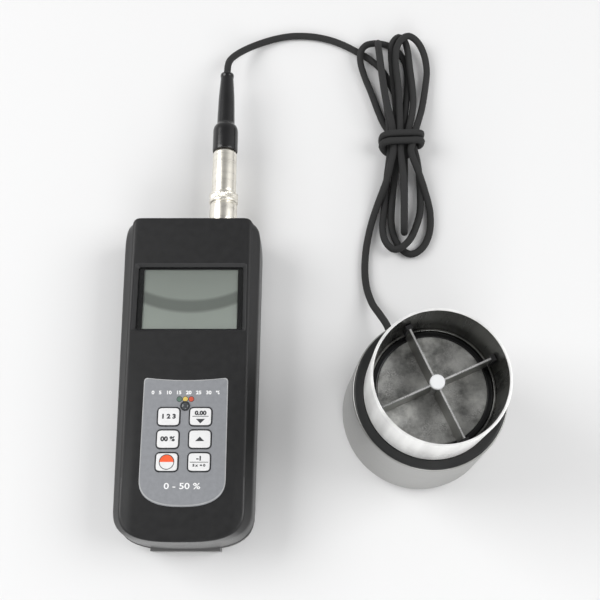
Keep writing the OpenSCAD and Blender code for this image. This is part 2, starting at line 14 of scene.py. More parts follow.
import bmesh
import bpy
import numpy as np
from mathutils import Matrix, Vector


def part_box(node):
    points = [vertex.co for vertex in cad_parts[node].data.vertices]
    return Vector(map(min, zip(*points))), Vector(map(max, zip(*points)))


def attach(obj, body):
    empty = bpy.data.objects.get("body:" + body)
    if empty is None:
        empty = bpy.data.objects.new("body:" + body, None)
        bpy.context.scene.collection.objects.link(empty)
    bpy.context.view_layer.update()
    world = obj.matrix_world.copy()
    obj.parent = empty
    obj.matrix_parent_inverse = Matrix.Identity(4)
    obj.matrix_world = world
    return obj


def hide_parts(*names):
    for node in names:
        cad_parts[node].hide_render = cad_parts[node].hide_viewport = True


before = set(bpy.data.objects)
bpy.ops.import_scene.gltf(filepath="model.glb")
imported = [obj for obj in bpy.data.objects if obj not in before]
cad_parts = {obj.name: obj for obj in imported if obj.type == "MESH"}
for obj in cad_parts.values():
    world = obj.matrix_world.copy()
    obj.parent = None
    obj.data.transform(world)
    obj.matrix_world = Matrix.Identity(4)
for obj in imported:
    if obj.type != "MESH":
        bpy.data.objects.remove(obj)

MM = 0.001
LOG = logging.getLogger("moisture_meter")
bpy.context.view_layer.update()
Colour = tuple[float, float, float]


class Body(Enum):
    """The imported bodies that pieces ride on."""

    MAIN = "instrument"
    RING = "coupling_ring"


class Way(Enum):
    """The direction that a turned piece's axis points in."""

    UP = "up"
    ALONG = "along"


# ---- Finishes ----


class Tree:
    """A material's node tree, with short ways to add and join nodes."""

    def __init__(self, name: str) -> None:
        """Makes the material and finds its shader.

        Args:
            name: Name of the material.
        """
        self.material = bpy.data.materials.new(name)
        self.material.use_nodes = True
        self.nodes = self.material.node_tree.nodes
        self.shader = self.nodes["Principled BSDF"]

    def add(self, kind: str, **values: object) -> bpy.types.Node:
        """Adds a node.

        Args:
            kind: The node's type name.
            **values: Attributes to set on it.

        Returns:
            The new node.
        """
        node = self.nodes.new(kind)
        for key, value in values.items():
            setattr(node, key, value)
        return node

    def join(self, start: bpy.types.NodeSocket, end: bpy.types.NodeSocket) -> None:
        """Links an output to an input.

        Args:
            start: The output.
            end: The input.
        """
        self.material.node_tree.links.new(start, end)

    def place(self, scale: Sequence[float], shift: Sequence[float] = (0, 0, 0)) -> bpy.types.NodeSocket:
        """Object coordinates, shifted and then scaled.

        Args:
            scale: Factors for X, Y and Z.
            shift: Metres added to X, Y and Z before the scaling.

        Returns:
            The vector output.
        """
        coords = self.add("ShaderNodeTexCoord")
        mapping = self.add("ShaderNodeMapping")
        mapping.inputs["Location"].default_value = [a * b for a, b in zip(shift, scale)]
        mapping.inputs["Scale"].default_value = scale
        self.join(coords.outputs["Object"], mapping.inputs["Vector"])
        return mapping.outputs["Vector"]

    def noise(self, vector: bpy.types.NodeSocket, detail: float = 3,
              rough: float = 0.55) -> bpy.types.NodeSocket:
        """Noise over coordinates that are scaled already.

        Args:
            vector: The coordinates.
            detail: Number of finer layers.
            rough: Strength of the finer layers.

        Returns:
            The noise's value output.
        """
        node = self.add("ShaderNodeTexNoise")
        node.inputs["Scale"].default_value = 1
        node.inputs["Detail"].default_value = detail
        node.inputs["Roughness"].default_value = rough
        self.join(vector, node.inputs["Vector"])
        return node.outputs["Fac"]

    def math(self, operation: str, *values: float | bpy.types.NodeSocket) -> bpy.types.NodeSocket:
        """One step of arithmetic.

        Args:
            operation: Blender's name of the operation.
            *values: Its inputs, each a number or an output.

        Returns:
            The result.
        """
        node = self.add("ShaderNodeMath", operation=operation)
        for socket, value in zip(node.inputs, values):
            if isinstance(value, bpy.types.NodeSocket):
                self.join(value, socket)
            else:
                socket.default_value = value
        return node.outputs[0]

    def spread(self, value: bpy.types.NodeSocket, low: float, high: float,
               start: float = 0.3, end: float = 0.7) -> bpy.types.NodeSocket:
        """Maps start to end onto low to high.

        Args:
            value: The value to map.
            low: Result at start.
            high: Result at end.
            start: Lowest input.
            end: Highest input.

        Returns:
            The mapped value.
        """
        node = self.add("ShaderNodeMapRange")
        for key, number in {"From Min": start, "From Max": end, "To Min": low, "To Max": high}.items():
            node.inputs[key].default_value = number
        self.join(value, node.inputs["Value"])
        return node.outputs["Result"]

    def blend(self, share: bpy.types.NodeSocket, first: Colour | bpy.types.NodeSocket,
              second: Colour | bpy.types.NodeSocket) -> bpy.types.NodeSocket:
        """Mixes two colours.

        Args:
            share: 0 gives the first and 1 the second.
            first: A colour or an output.
            second: A colour or an output.

        Returns:
            The mixed colour.
        """
        node = self.add("ShaderNodeMix", data_type="RGBA")
        self.join(share, node.inputs["Factor"])
        for socket, value in ((node.inputs[6], first), (node.inputs[7], second)):
            if isinstance(value, bpy.types.NodeSocket):
                self.join(value, socket)
            else:
                socket.default_value = (*value, 1)
        return node.outputs[2]

    def relief(self, height: bpy.types.NodeSocket, depth: float) -> None:
        """Bumps the surface.

        Args:
            height: Height from 0 to 1.
            depth: Millimetres between 0 and 1.
        """
        node = self.add("ShaderNodeBump")
        node.inputs["Strength"].default_value = 1
        node.inputs["Distance"].default_value = depth * MM
        self.join(height, node.inputs["Height"])
        self.join(node.outputs["Normal"], self.shader.inputs["Normal"])


@dataclass(frozen=True)
class Finish:
    """A moulded, printed or painted surface with a fine grain."""

    name: str
    colour: Colour
    roughness: float = 0.5
    metallic: float = 0.0
    grain: tuple[float, float, float] = (0.5, 0.5, 0.5)
    depth: float = 0.01
    shade: float = 0.12
    polish: float = 0.08
    specular: float = 0.5
    coat: float = 0.0

    def tints(self) -> tuple[Colour, Colour]:
        """The two colours that the grain moves between.

        Returns:
            The darker colour and the lighter one.
        """
        dark = tuple(c * (1 - self.shade) for c in self.colour)
        light = tuple(min(1.0, c * (1 + self.shade)) for c in self.colour)
        return dark, light

    def paint(self, tree: Tree) -> None:
        """Wires colour, roughness and relief.

        Args:
            tree: The material's tree.
        """
        fine = tree.noise(tree.place([1 / (g * MM) for g in self.grain]))
        broad = tree.noise(tree.place([0.08 / (g * MM) for g in self.grain]), 2)
        tree.join(tree.blend(tree.spread(broad, 0, 1), *self.tints()), tree.shader.inputs["Base Color"])
        both = tree.math("ADD", tree.math("MULTIPLY", fine, 0.6), tree.math("MULTIPLY", broad, 0.4))
        rough = tree.spread(both, self.roughness - self.polish, self.roughness + self.polish)
        tree.join(rough, tree.shader.inputs["Roughness"])
        tree.relief(fine, self.depth)

    def build(self) -> bpy.types.Material:
        """Makes the material.

        Returns:
            The material, or the one that was made before.
        """
        found = bpy.data.materials.get(self.name)
        if found:
            return found
        tree = Tree(self.name)
        tree.shader.inputs["Metallic"].default_value = self.metallic
        tree.shader.inputs["Specular IOR Level"].default_value = self.specular
        tree.shader.inputs["Coat Weight"].default_value = self.coat
        self.paint(tree)
        return tree.material


@dataclass(frozen=True)
class SheenPaintedPlastic(Finish):
    """Moulded plastic with a painted highlight: a pale grey sheen painted in towards one end of Y, for the
    light that the end wall reflects.
    """

    painted_sheen: Colour = (0.120, 0.120, 0.120)
    start: float = -78.5
    end: float = -82.5

    def paint(self, tree: Tree) -> None:
        """Wires the painted highlight: the share of the painted sheen colour follows Y.

        Args:
            tree: The material's tree.
        """
        fine = tree.noise(tree.place([1 / (g * MM) for g in self.grain]))
        parts = tree.add("ShaderNodeSeparateXYZ")
        tree.join(tree.place([1, 1, 1]), parts.inputs[0])
        # Painted highlight: the pale sheen colour takes over between start and end along Y.
        share = tree.spread(parts.outputs["Y"], 0, 1, self.start * MM, self.end * MM)
        tree.join(tree.blend(share, self.colour, self.painted_sheen), tree.shader.inputs["Base Color"])
        rough = tree.spread(fine, self.roughness - self.polish, self.roughness + self.polish)
        tree.join(rough, tree.shader.inputs["Roughness"])
        tree.relief(fine, self.depth)


@dataclass(frozen=True)
class MottledMetal(Finish):
    """Worn metal with cloudy dark patches and pale powdery speckles."""

    cloud: float = 9.0
    speck: float = 0.7
    powder: Colour = (0.80, 0.80, 0.78)

    def paint(self, tree: Tree) -> None:
        """Wires clouds, speckles and a roughness that follows them.

        Args:
            tree: The material's tree.
        """
        cloud = tree.noise(tree.place([1 / (self.cloud * MM)] * 3), 6, 0.62)
        patch = tree.noise(tree.place([0.6 / (self.cloud * MM)] * 3, (0.03, 0.01, 0)), 4, 0.6)
        speck = tree.noise(tree.place([1 / (self.speck * MM)] * 3), 4, 0.7)
        dark, light = self.tints()
        base = tree.blend(tree.spread(cloud, 0, 1, 0.35, 0.68), dark, light)
        patches = tree.spread(patch, 0, 1, 0.48, 0.60)
        specks = tree.spread(speck, 0.1, 1, 0.42, 0.60)
        dusty = tree.math("MULTIPLY", patches, specks)
        tree.join(tree.blend(dusty, base, self.powder), tree.shader.inputs["Base Color"])
        rough = tree.spread(cloud, self.roughness - 0.1, self.roughness + 0.15)
        tree.join(rough, tree.shader.inputs["Roughness"])
        bare = tree.spread(dusty, self.metallic, self.metallic * 0.2, 0, 1)
        tree.join(bare, tree.shader.inputs["Metallic"])
        tree.relief(tree.math("ADD", speck, dusty), self.depth)


@dataclass(frozen=True)
class DisplayGlass(Finish):
    """Reflective liquid crystal cell with a painted reflection, a soft darker arc across it, and a paler
    foot that is painted light.

    The centre is in millimetres. The painted reflection arc's drop, its half widths and the painted light
    foot's span are in metres, and the bow is the arc's rise for each square metre across.
    """

    centre: tuple[float, float] = (0.0, 0.0)
    bow: float = 9.0
    painted_reflection_drop: float = 0.0032
    painted_reflection_halves: tuple[float, float] = (0.0022, 0.0040)
    painted_light_foot_span: tuple[float, float] = (-0.015, 0.012)

    def paint(self, tree: Tree) -> None:
        """Wires the painted reflection arc as the distance from a parabola that opens towards +Y, and the
        painted light of the paler foot.

        Args:
            tree: The material's tree.
        """
        x, y = (c * MM for c in self.centre)
        place = tree.place([1, 1, 1], (-x, -y, 0))
        parts = tree.add("ShaderNodeSeparateXYZ")
        tree.join(place, parts.inputs[0])
        across = tree.math("POWER", tree.math("ABSOLUTE", parts.outputs["X"]), 2.0)
        bent = tree.math("SUBTRACT", parts.outputs["Y"], tree.math("MULTIPLY", across, self.bow))
        away = tree.math("ABSOLUTE", tree.math("ADD", bent, self.painted_reflection_drop))
        # Painted reflection: the darker arc. Painted light: the paler foot towards -Y.
        painted_reflection_arc = tree.spread(away, 1, 0, *self.painted_reflection_halves)
        foot = tree.spread(bent, 1, 0, *self.painted_light_foot_span)
        dark, light = self.tints()
        ground = tree.blend(foot, self.colour, light)
        tree.join(tree.blend(painted_reflection_arc, ground, dark), tree.shader.inputs["Base Color"])
        fine = tree.noise(tree.place([1 / (0.3 * MM)] * 3))
        rough = tree.spread(fine, self.roughness - self.polish, self.roughness + self.polish)
        tree.join(rough, tree.shader.inputs["Roughness"])
        tree.relief(fine, self.depth)


@dataclass(frozen=True)
class ClearSheet(Finish):
    """Thin clear acrylic that shows what is behind it."""

    def paint(self, tree: Tree) -> None:
        """Mixes a clear shader with a glossy one by the angle.

        Args:
            tree: The material's tree.
        """
        out = tree.nodes["Material Output"]
        clear = tree.add("ShaderNodeBsdfTransparent")
        clear.inputs["Color"].default_value = (*self.colour, 1)
        gloss = tree.add("ShaderNodeBsdfGlossy")
        gloss.inputs["Roughness"].default_value = self.roughness
        fine = tree.noise(tree.place([1 / (g * MM) for g in self.grain]))
        bump = tree.add("ShaderNodeBump")
        bump.inputs["Distance"].default_value = self.depth * MM
        tree.join(fine, bump.inputs["Height"])
        tree.join(bump.outputs["Normal"], gloss.inputs["Normal"])
        edge = tree.add("ShaderNodeFresnel")
        edge.inputs["IOR"].default_value = 1.45
        mix = tree.add("ShaderNodeMixShader")
        tree.join(edge.outputs["Fac"], mix.inputs["Fac"])
        tree.join(clear.outputs[0], mix.inputs[1])
        tree.join(gloss.outputs[0], mix.inputs[2])
        tree.join(mix.outputs[0], out.inputs["Surface"])
        tree.nodes.remove(tree.shader)


CASE = Finish("case_black", (0.010, 0.010, 0.0105), 0.44, grain=(0.28, 0.28, 0.28), depth=0.030, shade=0.1,
              specular=0.42)
# The case walls carry a painted pale sheen at the keypad end, standing in for the light that the end wall
# reflects.
WALL = SheenPaintedPlastic("case_wall_black", (0.010, 0.010, 0.0105), 0.36, grain=(0.28, 0.28, 0.28), depth=0.015)
INNER = Finish("inner_black", (0.016, 0.016, 0.017), 0.5)
PANEL = Finish("panel_silver_film", (0.262, 0.270, 0.286), 0.42, 0.1, grain=(0.16, 0.16, 0.16), depth=0.004,
               shade=0.05)
TRIM = Finish("panel_rim_ink", (0.40, 0.405, 0.41), 0.45)
KEY_WHITE = Finish("key_white", (0.76, 0.76, 0.76), 0.42, grain=(0.2, 0.2, 0.2), depth=0.006, shade=0.02)
INK_DARK = Finish("dark_ink", (0.030, 0.032, 0.036), 0.5)
INK_WHITE = Finish("white_ink", (0.86, 0.86, 0.86), 0.5, shade=0.03)
INK_RED = Finish("red_ink", (0.56, 0.085, 0.045), 0.45)
INK_ORANGE = Finish("orange_red_ink", (0.80, 0.105, 0.030), 0.45)
INK_YELLOW = Finish("yellow_ink", (0.62, 0.46, 0.11), 0.45)
INK_GREEN = Finish("green_ink", (0.10, 0.17, 0.13), 0.45)
WINDOW = ClearSheet("window_clear", (0.985, 0.995, 0.99), 0.05, grain=(3, 3, 3), depth=0.01)
MASK = Finish("mask_ink", (0.008, 0.008, 0.008), 0.35)
LAMP = Finish("smoked_lamp", (0.05, 0.055, 0.06), 0.18, coat=0.4, depth=0.002)
BOARD = Finish("board_green", (0.02, 0.11, 0.05), 0.4)
CHIP = Finish("chip_black", (0.02, 0.02, 0.02), 0.55)
SILICONE = Finish("contact_pink", (0.62, 0.28, 0.32), 0.5)
CELL = Finish("cell_wrap", (0.03, 0.10, 0.22), 0.3, coat=0.3)
CONTACT = Finish("contact_plate", (0.66, 0.65, 0.62), 0.3, 1.0)
SCREW = Finish("screw_zinc", (0.55, 0.55, 0.56), 0.3, 1.0)
NICKEL = Finish("nickel", (0.92, 0.885, 0.80), 0.30, 1.0, grain=(2.5, 0.25, 2.5), depth=0.002, shade=0.06,
                polish=0.05)
GOLD = Finish("gold_plate", (0.85, 0.62, 0.25), 0.2, 1.0)
INSULATOR = Finish("white_insulator", (0.82, 0.81, 0.78), 0.4)
RUBBER = Finish("boot_rubber", (0.009, 0.009, 0.0095), 0.20, grain=(1.2, 1.2, 1.2), depth=0.01, shade=0.2,
                polish=0.05)
JACKET = Finish("lead_jacket", (0.006, 0.006, 0.0062), 0.24, grain=(1.5, 1.5, 1.5), depth=0.02, shade=0.2,
                polish=0.05, specular=0.62)
CAN = Finish("can_satin_steel", (0.37, 0.37, 0.36), 0.33, 1.0, grain=(9, 9, 0.22), depth=0.004, shade=0.07)
SLEEVE = Finish("sleeve_turned_steel", (0.89, 0.89, 0.875), 0.36, 0.42, grain=(0.55, 0.55, 9), depth=0.006,
                shade=0.12)
# The bowl is the sleeve's steel made darker, as a painted reflection of the cup's dark inside.
BOWL = Finish("bowl_steel_painted_dark_reflection", (0.17, 0.17, 0.162), 0.30, 1.0, grain=(0.5, 0.5, 14), depth=0.004,
              shade=0.3)
COLLAR = Finish("collar_black", (0.011, 0.0115, 0.0115), 0.36, grain=(7, 7, 0.3), depth=0.008, shade=0.15)
FLOOR = MottledMetal("cup_floor_metal", (0.62, 0.62, 0.595), 0.42, 0.55, depth=0.05, shade=0.62)
VANE = Finish("vane_steel", (0.17, 0.17, 0.165), 0.42, 0.9, grain=(3, 3, 0.4), depth=0.004)
VANE_EDGE = Finish("vane_cut_edge", (0.72, 0.72, 0.71), 0.3, 0.6)
POST = Finish("post_steel", (0.6, 0.6, 0.59), 0.3, 1.0)
CAP = Finish("cap_white", (0.78, 0.79, 0.80), 0.4, shade=0.03)

NODE_FINISHES: dict[Finish, tuple[str, ...]] = {
    WALL: ("rear_case", "battery_door"),
    INNER: ("lcd_frame", "key_switches", "floor_block", "temperature_sensor", "vane_spacers"),
    PANEL: ("keypad_panel",),
    WINDOW: ("display_window",),
    MASK: ("display_mask",),
    BOARD: ("main_board", "cup_board"),
    CHIP: ("board_chips", "cup_chips"),
    SILICONE: ("contact_strips",),
    CELL: ("battery_1", "battery_2", "battery_3", "battery_4"),
    CONTACT: ("battery_springs", "battery_plates"),
    SCREW: ("case_screws", "base_screws", "board_screws", "post_nut"),
    NICKEL: ("socket_body", "socket_washer", "socket_nut"),
    GOLD: ("socket_contact", "plug_pin", "board_pillars"),
    INSULATOR: ("socket_insulator", "plug_insulator"),
    RUBBER: ("cable_gland", "cup_feet"),
    POST: ("center_post",),
}


# ---- Meshes ----


def make_object(name: str, vertices: np.ndarray, faces: list, finish: Finish, body: str,
                smooth: bool = True) -> bpy.types.Object:
    """Makes a piece from points and faces, points its faces outwards and puts it on a body.

    Args:
        name: Name of the piece.
        vertices: Points in metres, one row each.
        faces: Lists of point numbers.
        finish: Its material.
        body: The body that it rides on.
        smooth: True to shade it smooth, with edges over 35 degrees kept sharp.

    Returns:
        The new object.
    """
    mesh = bpy.data.meshes.new(name)
    mesh.from_pydata(vertices.tolist(), [], faces)
    shape = bmesh.new()
    shape.from_mesh(mesh)
    bmesh.ops.remove_doubles(shape, verts=shape.verts, dist=1e-7)
    bmesh.ops.dissolve_degenerate(shape, edges=shape.edges, dist=1e-8)
    bmesh.ops.recalc_face_normals(shape, faces=shape.faces)
    shape.to_mesh(mesh)
    shape.free()
    if smooth:
        mesh.shade_smooth()
        mesh.set_sharp_from_angle(angle=math.radians(35))
    else:
        mesh.shade_flat()
    mesh.materials.append(finish.build())
    piece = bpy.data.objects.new(name, mesh)
    bpy.context.scene.collection.objects.link(piece)
    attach(piece, body)
    LOG.info("%s: %d faces", name, len(mesh.polygons))
    return piece


def quads(rows: int, columns: int, wrap: bool) -> np.ndarray:
    """Faces of a grid whose columns close on themselves.

    Args:
        rows: Number of rings.
        columns: Points in a ring.
        wrap: True if the last ring also joins the first.

    Returns:
        One row of four point numbers for each face.
    """
    i = np.arange(rows if wrap else rows - 1)[:, None]
    j = np.arange(columns)[None, :]
    after, turn = (i + 1) % rows, (j + 1) % columns
    corners = [i * columns + j, i * columns + turn, after * columns + turn, after * columns + j]
    return np.stack([np.broadcast_to(c, (len(i), columns)) for c in corners], -1).reshape(-1, 4)


def skin(name: str, rings: np.ndarray, finish: Finish, body: str, wrap: bool = False,
         caps: bool = True) -> bpy.types.Object:
    """Joins closed rings of points into a surface.

    Args:
        name: Name of the piece.
        rings: Array of rings by points by 3, in millimetres.
        finish: Its material.
        body: The body that it rides on.
        wrap: True if the last ring joins the first.
        caps: True to close the first and last rings with a flat face.

    Returns:
        The new object.
    """
    rows, columns = rings.shape[:2]
    faces = quads(rows, columns, wrap).tolist()
    if caps and not wrap:
        last = (rows - 1) * columns
        faces += [list(range(columns - 1, -1, -1)), list(range(last, last + columns))]
    return make_object(name, rings.reshape(-1, 3) * MM, faces, finish, body)


def rounded(corners: Sequence[tuple[float, float, float]], steps: int = 5) -> np.ndarray:
    """A closed outline whose corners are rounded by quadratic curves.

    Args:
        corners: x, y and the length that the rounding takes from each side.
        steps: Pieces in each rounding.

    Returns:
        The outline's points.
    """
    flat = np.array([c[:2] for c in corners], float)
    out = []
    for i, (*_, size) in enumerate(corners):
        here, before, after = flat[i], flat[i - 1], flat[(i + 1) % len(flat)]
        if size <= 0:
            out.append(here[None])
            continue
        back, ahead = before - here, after - here
        near, far = np.linalg.norm(back), np.linalg.norm(ahead)
        start = here + back / near * min(size, near * 0.48)
        end = here + ahead / far * min(size, far * 0.48)
        t = np.linspace(0, 1, steps + 1)[:, None]
        out.append((1 - t) ** 2 * start + 2 * t * (1 - t) * here + t**2 * end)
    return np.concatenate(out)


@dataclass(frozen=True)
class Axis:
    """A turning axis in the shared frame, in millimetres."""

    origin: tuple[float, float, float]
    way: Way = Way.UP

    def turn(self, profile: np.ndarray, sides: int = 128,
             wave: Callable[[np.ndarray, np.ndarray], np.ndarray] | None = None) -> np.ndarray:
        """Carries a profile of radius and height round the axis.

        Args:
            profile: Rows of radius and height.
            sides: Number of points round.
            wave: Gives the change of radius from angle and height.

        Returns:
            Rings of points, in millimetres.
        """
        angle = np.linspace(0, 2 * np.pi, sides, endpoint=False)[None, :]
        radius, height = profile[:, :1], profile[:, 1:2]
        radius = radius + (wave(angle, height) if wave else 0)
        across, up = radius * np.cos(angle), radius * np.sin(angle)
        level = np.broadcast_to(height, across.shape)
        order = [across, up, level] if self.way is Way.UP else [across, level, up]
        return np.stack(order, -1) + np.array(self.origin)


def second_finish(piece: bpy.types.Object, finish: Finish,
                  choose: Callable[[np.ndarray], np.ndarray]) -> None:
    """Gives some of a piece's faces another finish.

    Args:
        piece: The piece.
        finish: The other finish.
        choose: Takes the faces' centres in millimetres and says which get it.
    """
    mesh = piece.data
    mesh.materials.append(finish.build())
    at = np.empty(len(mesh.polygons) * 3, np.float32)
    mesh.polygons.foreach_get("center", at)
    index = np.empty(len(mesh.polygons), np.int32)
    mesh.polygons.foreach_get("material_index", index)
    index[choose(at.reshape(-1, 3) / MM)] = len(mesh.materials) - 1
    mesh.polygons.foreach_set("material_index", index)


def flat_plate(name: str, outline: np.ndarray, low: float, high: float, finish: Finish,
               body: str) -> bpy.types.Object:
    """A plate with upright sides.

    Args:
        name: Name of the piece.
        outline: Closed plan, in millimetres.
        low: Height of its underside.
        high: Height of its top.
        finish: Its material.
        body: The body that it rides on.

    Returns:
        The new object.
    """
    rings = np.stack([np.column_stack([outline, np.full(len(outline), z)]) for z in (low, high)])
    return skin(name, rings, finish, body)


def band(name: str, outer: np.ndarray, inner: np.ndarray, low: float, high: float, finish: Finish,
         body: str) -> bpy.types.Object:
    """A flat ring between two outlines that have the same number of points.

    Args:
        name: Name of the piece.
        outer: Outer plan, in millimetres.
        inner: Inner plan, in millimetres.
        low: Height of its underside.
        high: Height of its top.
        finish: Its material.
        body: The body that it rides on.

    Returns:
        The new object.
    """
    rows = [(outer, low), (outer, high), (inner, high), (inner, low)]
    rings = np.stack([np.column_stack([plan, np.full(len(plan), z)]) for plan, z in rows])
    return skin(name, rings, finish, body, wrap=True)


def signed_power(value: np.ndarray, power: float) -> np.ndarray:
    """Raises a size to a power and keeps its sign.

    Args:
        value: The numbers.
        power: The power.

    Returns:
        The raised numbers, signed as before.
    """
    return np.sign(value) * np.abs(value) ** power


def soft_box(centre: Sequence[float], width: float, height: float, power: float = 5,
             points: int = 64) -> np.ndarray:
    """A superellipse: the sum of both shares of the half sizes, to a power, is one.

    Args:
        centre: x and y of its middle.
        width: Full width.
        height: Full height.
        power: 2 for an ellipse, and more for squarer corners.
        points: Number of points.

    Returns:
        The outline.
    """
    t = np.linspace(0, 2 * np.pi, points, endpoint=False)
    x = width / 2 * signed_power(np.cos(t), 2 / power)
    y = height / 2 * signed_power(np.sin(t), 2 / power)
    return np.column_stack([x, y]) + np.array(centre[:2])


def lettering(name: str, words: str, size: float, centre: Sequence[float], height: float,
              finish: Finish, body: str, stretch: float = 1.0, weight: float = 0.04) -> bpy.types.Object:
    """Raised ink in the shape of numbers or marks.

    Args:
        name: Name of the piece.
        words: The characters.
        size: Height of a line, in millimetres.
        centre: x and y of the middle.
        height: Height that the ink stands on.
        finish: Its material.
        body: The body that it rides on.
        stretch: Factor on its width.
        weight: Growth of the strokes, as a share of the size.

    Returns:
        The new object.
    """
    curve = bpy.data.curves.new(name + "_outline", "FONT")
    curve.body, curve.size, curve.extrude = words, size * MM, 0.012 * MM
    curve.align_x, curve.align_y, curve.offset = "CENTER", "CENTER", weight * size * MM
    curve.resolution_u = 4
    source = bpy.data.objects.new(name + "_outline", curve)
    bpy.context.scene.collection.objects.link(source)
    bpy.context.view_layer.update()
    ready = source.evaluated_get(bpy.context.evaluated_depsgraph_get())
    mesh = bpy.data.meshes.new_from_object(ready)
    bpy.data.objects.remove(source)
    shift = Matrix.Translation((centre[0] * MM, centre[1] * MM, height * MM))
    mesh.transform(shift @ Matrix.Diagonal((stretch, 1, 1, 1)))
    mesh.materials.clear()
    mesh.materials.append(finish.build())
    piece = bpy.data.objects.new(name, mesh)
    bpy.context.scene.collection.objects.link(piece)
    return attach(piece, body)


def middle(node: str) -> np.ndarray:
    """Centre of a CAD node.

    Args:
        node: Name of the node.

    Returns:
        x, y and z in millimetres.
    """
    low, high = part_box(node)
    return (np.array(low) + np.array(high)) / 2 / MM


def lowest(node: str) -> np.ndarray:
    """Lowest corner of a CAD node.

    Args:
        node: Name of the node.

    Returns:
        x, y and z in millimetres.
    """
    return np.array(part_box(node)[0]) / MM


def highest(node: str) -> np.ndarray:
    """Highest corner of a CAD node.

    Args:
        node: Name of the node.

    Returns:
        x, y and z in millimetres.
    """
    return np.array(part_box(node)[1]) / MM


# ---- Studio ----


@dataclass
class Studio:
    """Camera, pale floor and soft lights."""

    camera_at: tuple[float, float, float] = (-0.0035, -0.1048, 0.4514)
    tilt: float = 18.0
    lens: float = 54.0
    floor_half: float = 3.0

    def camera(self) -> None:
        """Puts the camera above the object and leans it towards +Y."""
        data = bpy.data.cameras.new("camera")
        data.lens, data.sensor_width, data.clip_start = self.lens, 36, 0.01
        view = bpy.data.objects.new("camera", data)
        view.location = self.camera_at
        view.rotation_euler = (math.radians(self.tilt), 0, 0)
        bpy.context.scene.collection.objects.link(view)
        bpy.context.scene.camera = view

    def floor(self) -> None:
        """Lays the pale floor under the object."""
        half = self.floor_half
        mesh = bpy.data.meshes.new("floor")
        corners = [(-half, -half, 0), (half, -half, 0), (half, half, 0), (-half, half, 0)]
        mesh.from_pydata(corners, [], [(0, 1, 2, 3)])
        mesh.materials.append(Finish("floor_paper", (0.80, 0.80, 0.80), 0.9, shade=0.004, specular=0.1,
                                     grain=(40, 40, 40), depth=0.0).build())
        paper = bpy.data.objects.new("floor", mesh)
        bpy.context.scene.collection.objects.link(paper)

    def soft_box_light(self, name: str, at: tuple[float, float, float], size: float, power: float) -> None:
        """Adds a square light that looks at the object.

        Args:
            name: Name of the light.
            at: Its place, in metres.
            size: Side of the square, in metres.
            power: Watts.
        """
        data = bpy.data.lights.new(name, "AREA")
        data.shape, data.size, data.energy = "SQUARE", size, power
        lamp = bpy.data.objects.new(name, data)
        lamp.location = at
        x, y, z = at
        lamp.rotation_euler = (math.atan2(math.hypot(x, y), z), 0, math.atan2(x, -y))
        bpy.context.scene.collection.objects.link(lamp)

    def sky(self) -> None:
        """Surrounds the scene with a pale tent that is darker overhead: colour follows height."""
        world = bpy.data.worlds.new("tent")
        world.use_nodes = True
        nodes, links = world.node_tree.nodes, world.node_tree.links
        coords = nodes.new("ShaderNodeTexCoord")
        parts = nodes.new("ShaderNodeSeparateXYZ")
        ramp = nodes.new("ShaderNodeValToRGB")
        ramp.color_ramp.elements[0].color = (1.0, 1.0, 1.0, 1)
        ramp.color_ramp.elements[1].color = (0.34, 0.34, 0.345, 1)
        ramp.color_ramp.elements[0].position = 0.35
        ramp.color_ramp.elements[1].position = 0.95
        links.new(coords.outputs["Generated"], parts.inputs[0])
        links.new(parts.outputs["Z"], ramp.inputs["Fac"])
        links.new(ramp.outputs["Color"], nodes["Background"].inputs["Color"])
        nodes["Background"].inputs["Strength"].default_value = 0.74
        bpy.context.scene.world = world

    def build(self) -> None:
        """Makes the whole studio."""
        self.camera()
        self.floor()
        self.sky()
        self.soft_box_light("left_softbox", (-1.1, 0.35, 1.0), 0.9, 12)
        self.soft_box_light("right_softbox", (1.1, 0.1, 1.1), 0.9, 9.5)
        self.soft_box_light("front_softbox", (0.1, -1.3, 0.9), 0.8, 8)
        bpy.context.scene.view_settings.view_transform = "Standard"


# ---- Lead ----


def smooth_path(points: Sequence[Sequence[float]], spacing: float) -> np.ndarray:
    """Points on a Catmull-Rom curve through given ones, evenly spaced.

    Each stretch is a cubic through its two ends, whose slope at an end is half the way
    between that end's neighbours.

    Args:
        points: The points to go through.
        spacing: Distance between the points given back.

    Returns:
        One row for each point.
    """
    p = np.array(points, float)
    ends = np.vstack([2 * p[0] - p[1], p, 2 * p[-1] - p[-2]])
    a, b, c, d = (ends[i:len(p) - 1 + i][:, None, :] for i in range(4))
    u = np.linspace(0, 1, 24, endpoint=False)[None, :, None]
    curve = 0.5 * (2 * b + (c - a) * u + (2 * a - 5 * b + 4 * c - d) * u**2 + (3 * b - 3 * c + d - a) * u**3)
    fine = np.vstack([curve.reshape(-1, 3), p[-1:]])
    gone = np.concatenate([[0], np.cumsum(np.linalg.norm(np.diff(fine, axis=0), axis=1))])
    even = np.linspace(0, gone[-1], int(gone[-1] / spacing) + 1)
    return np.column_stack([np.interp(even, gone, fine[:, k]) for k in range(3)])


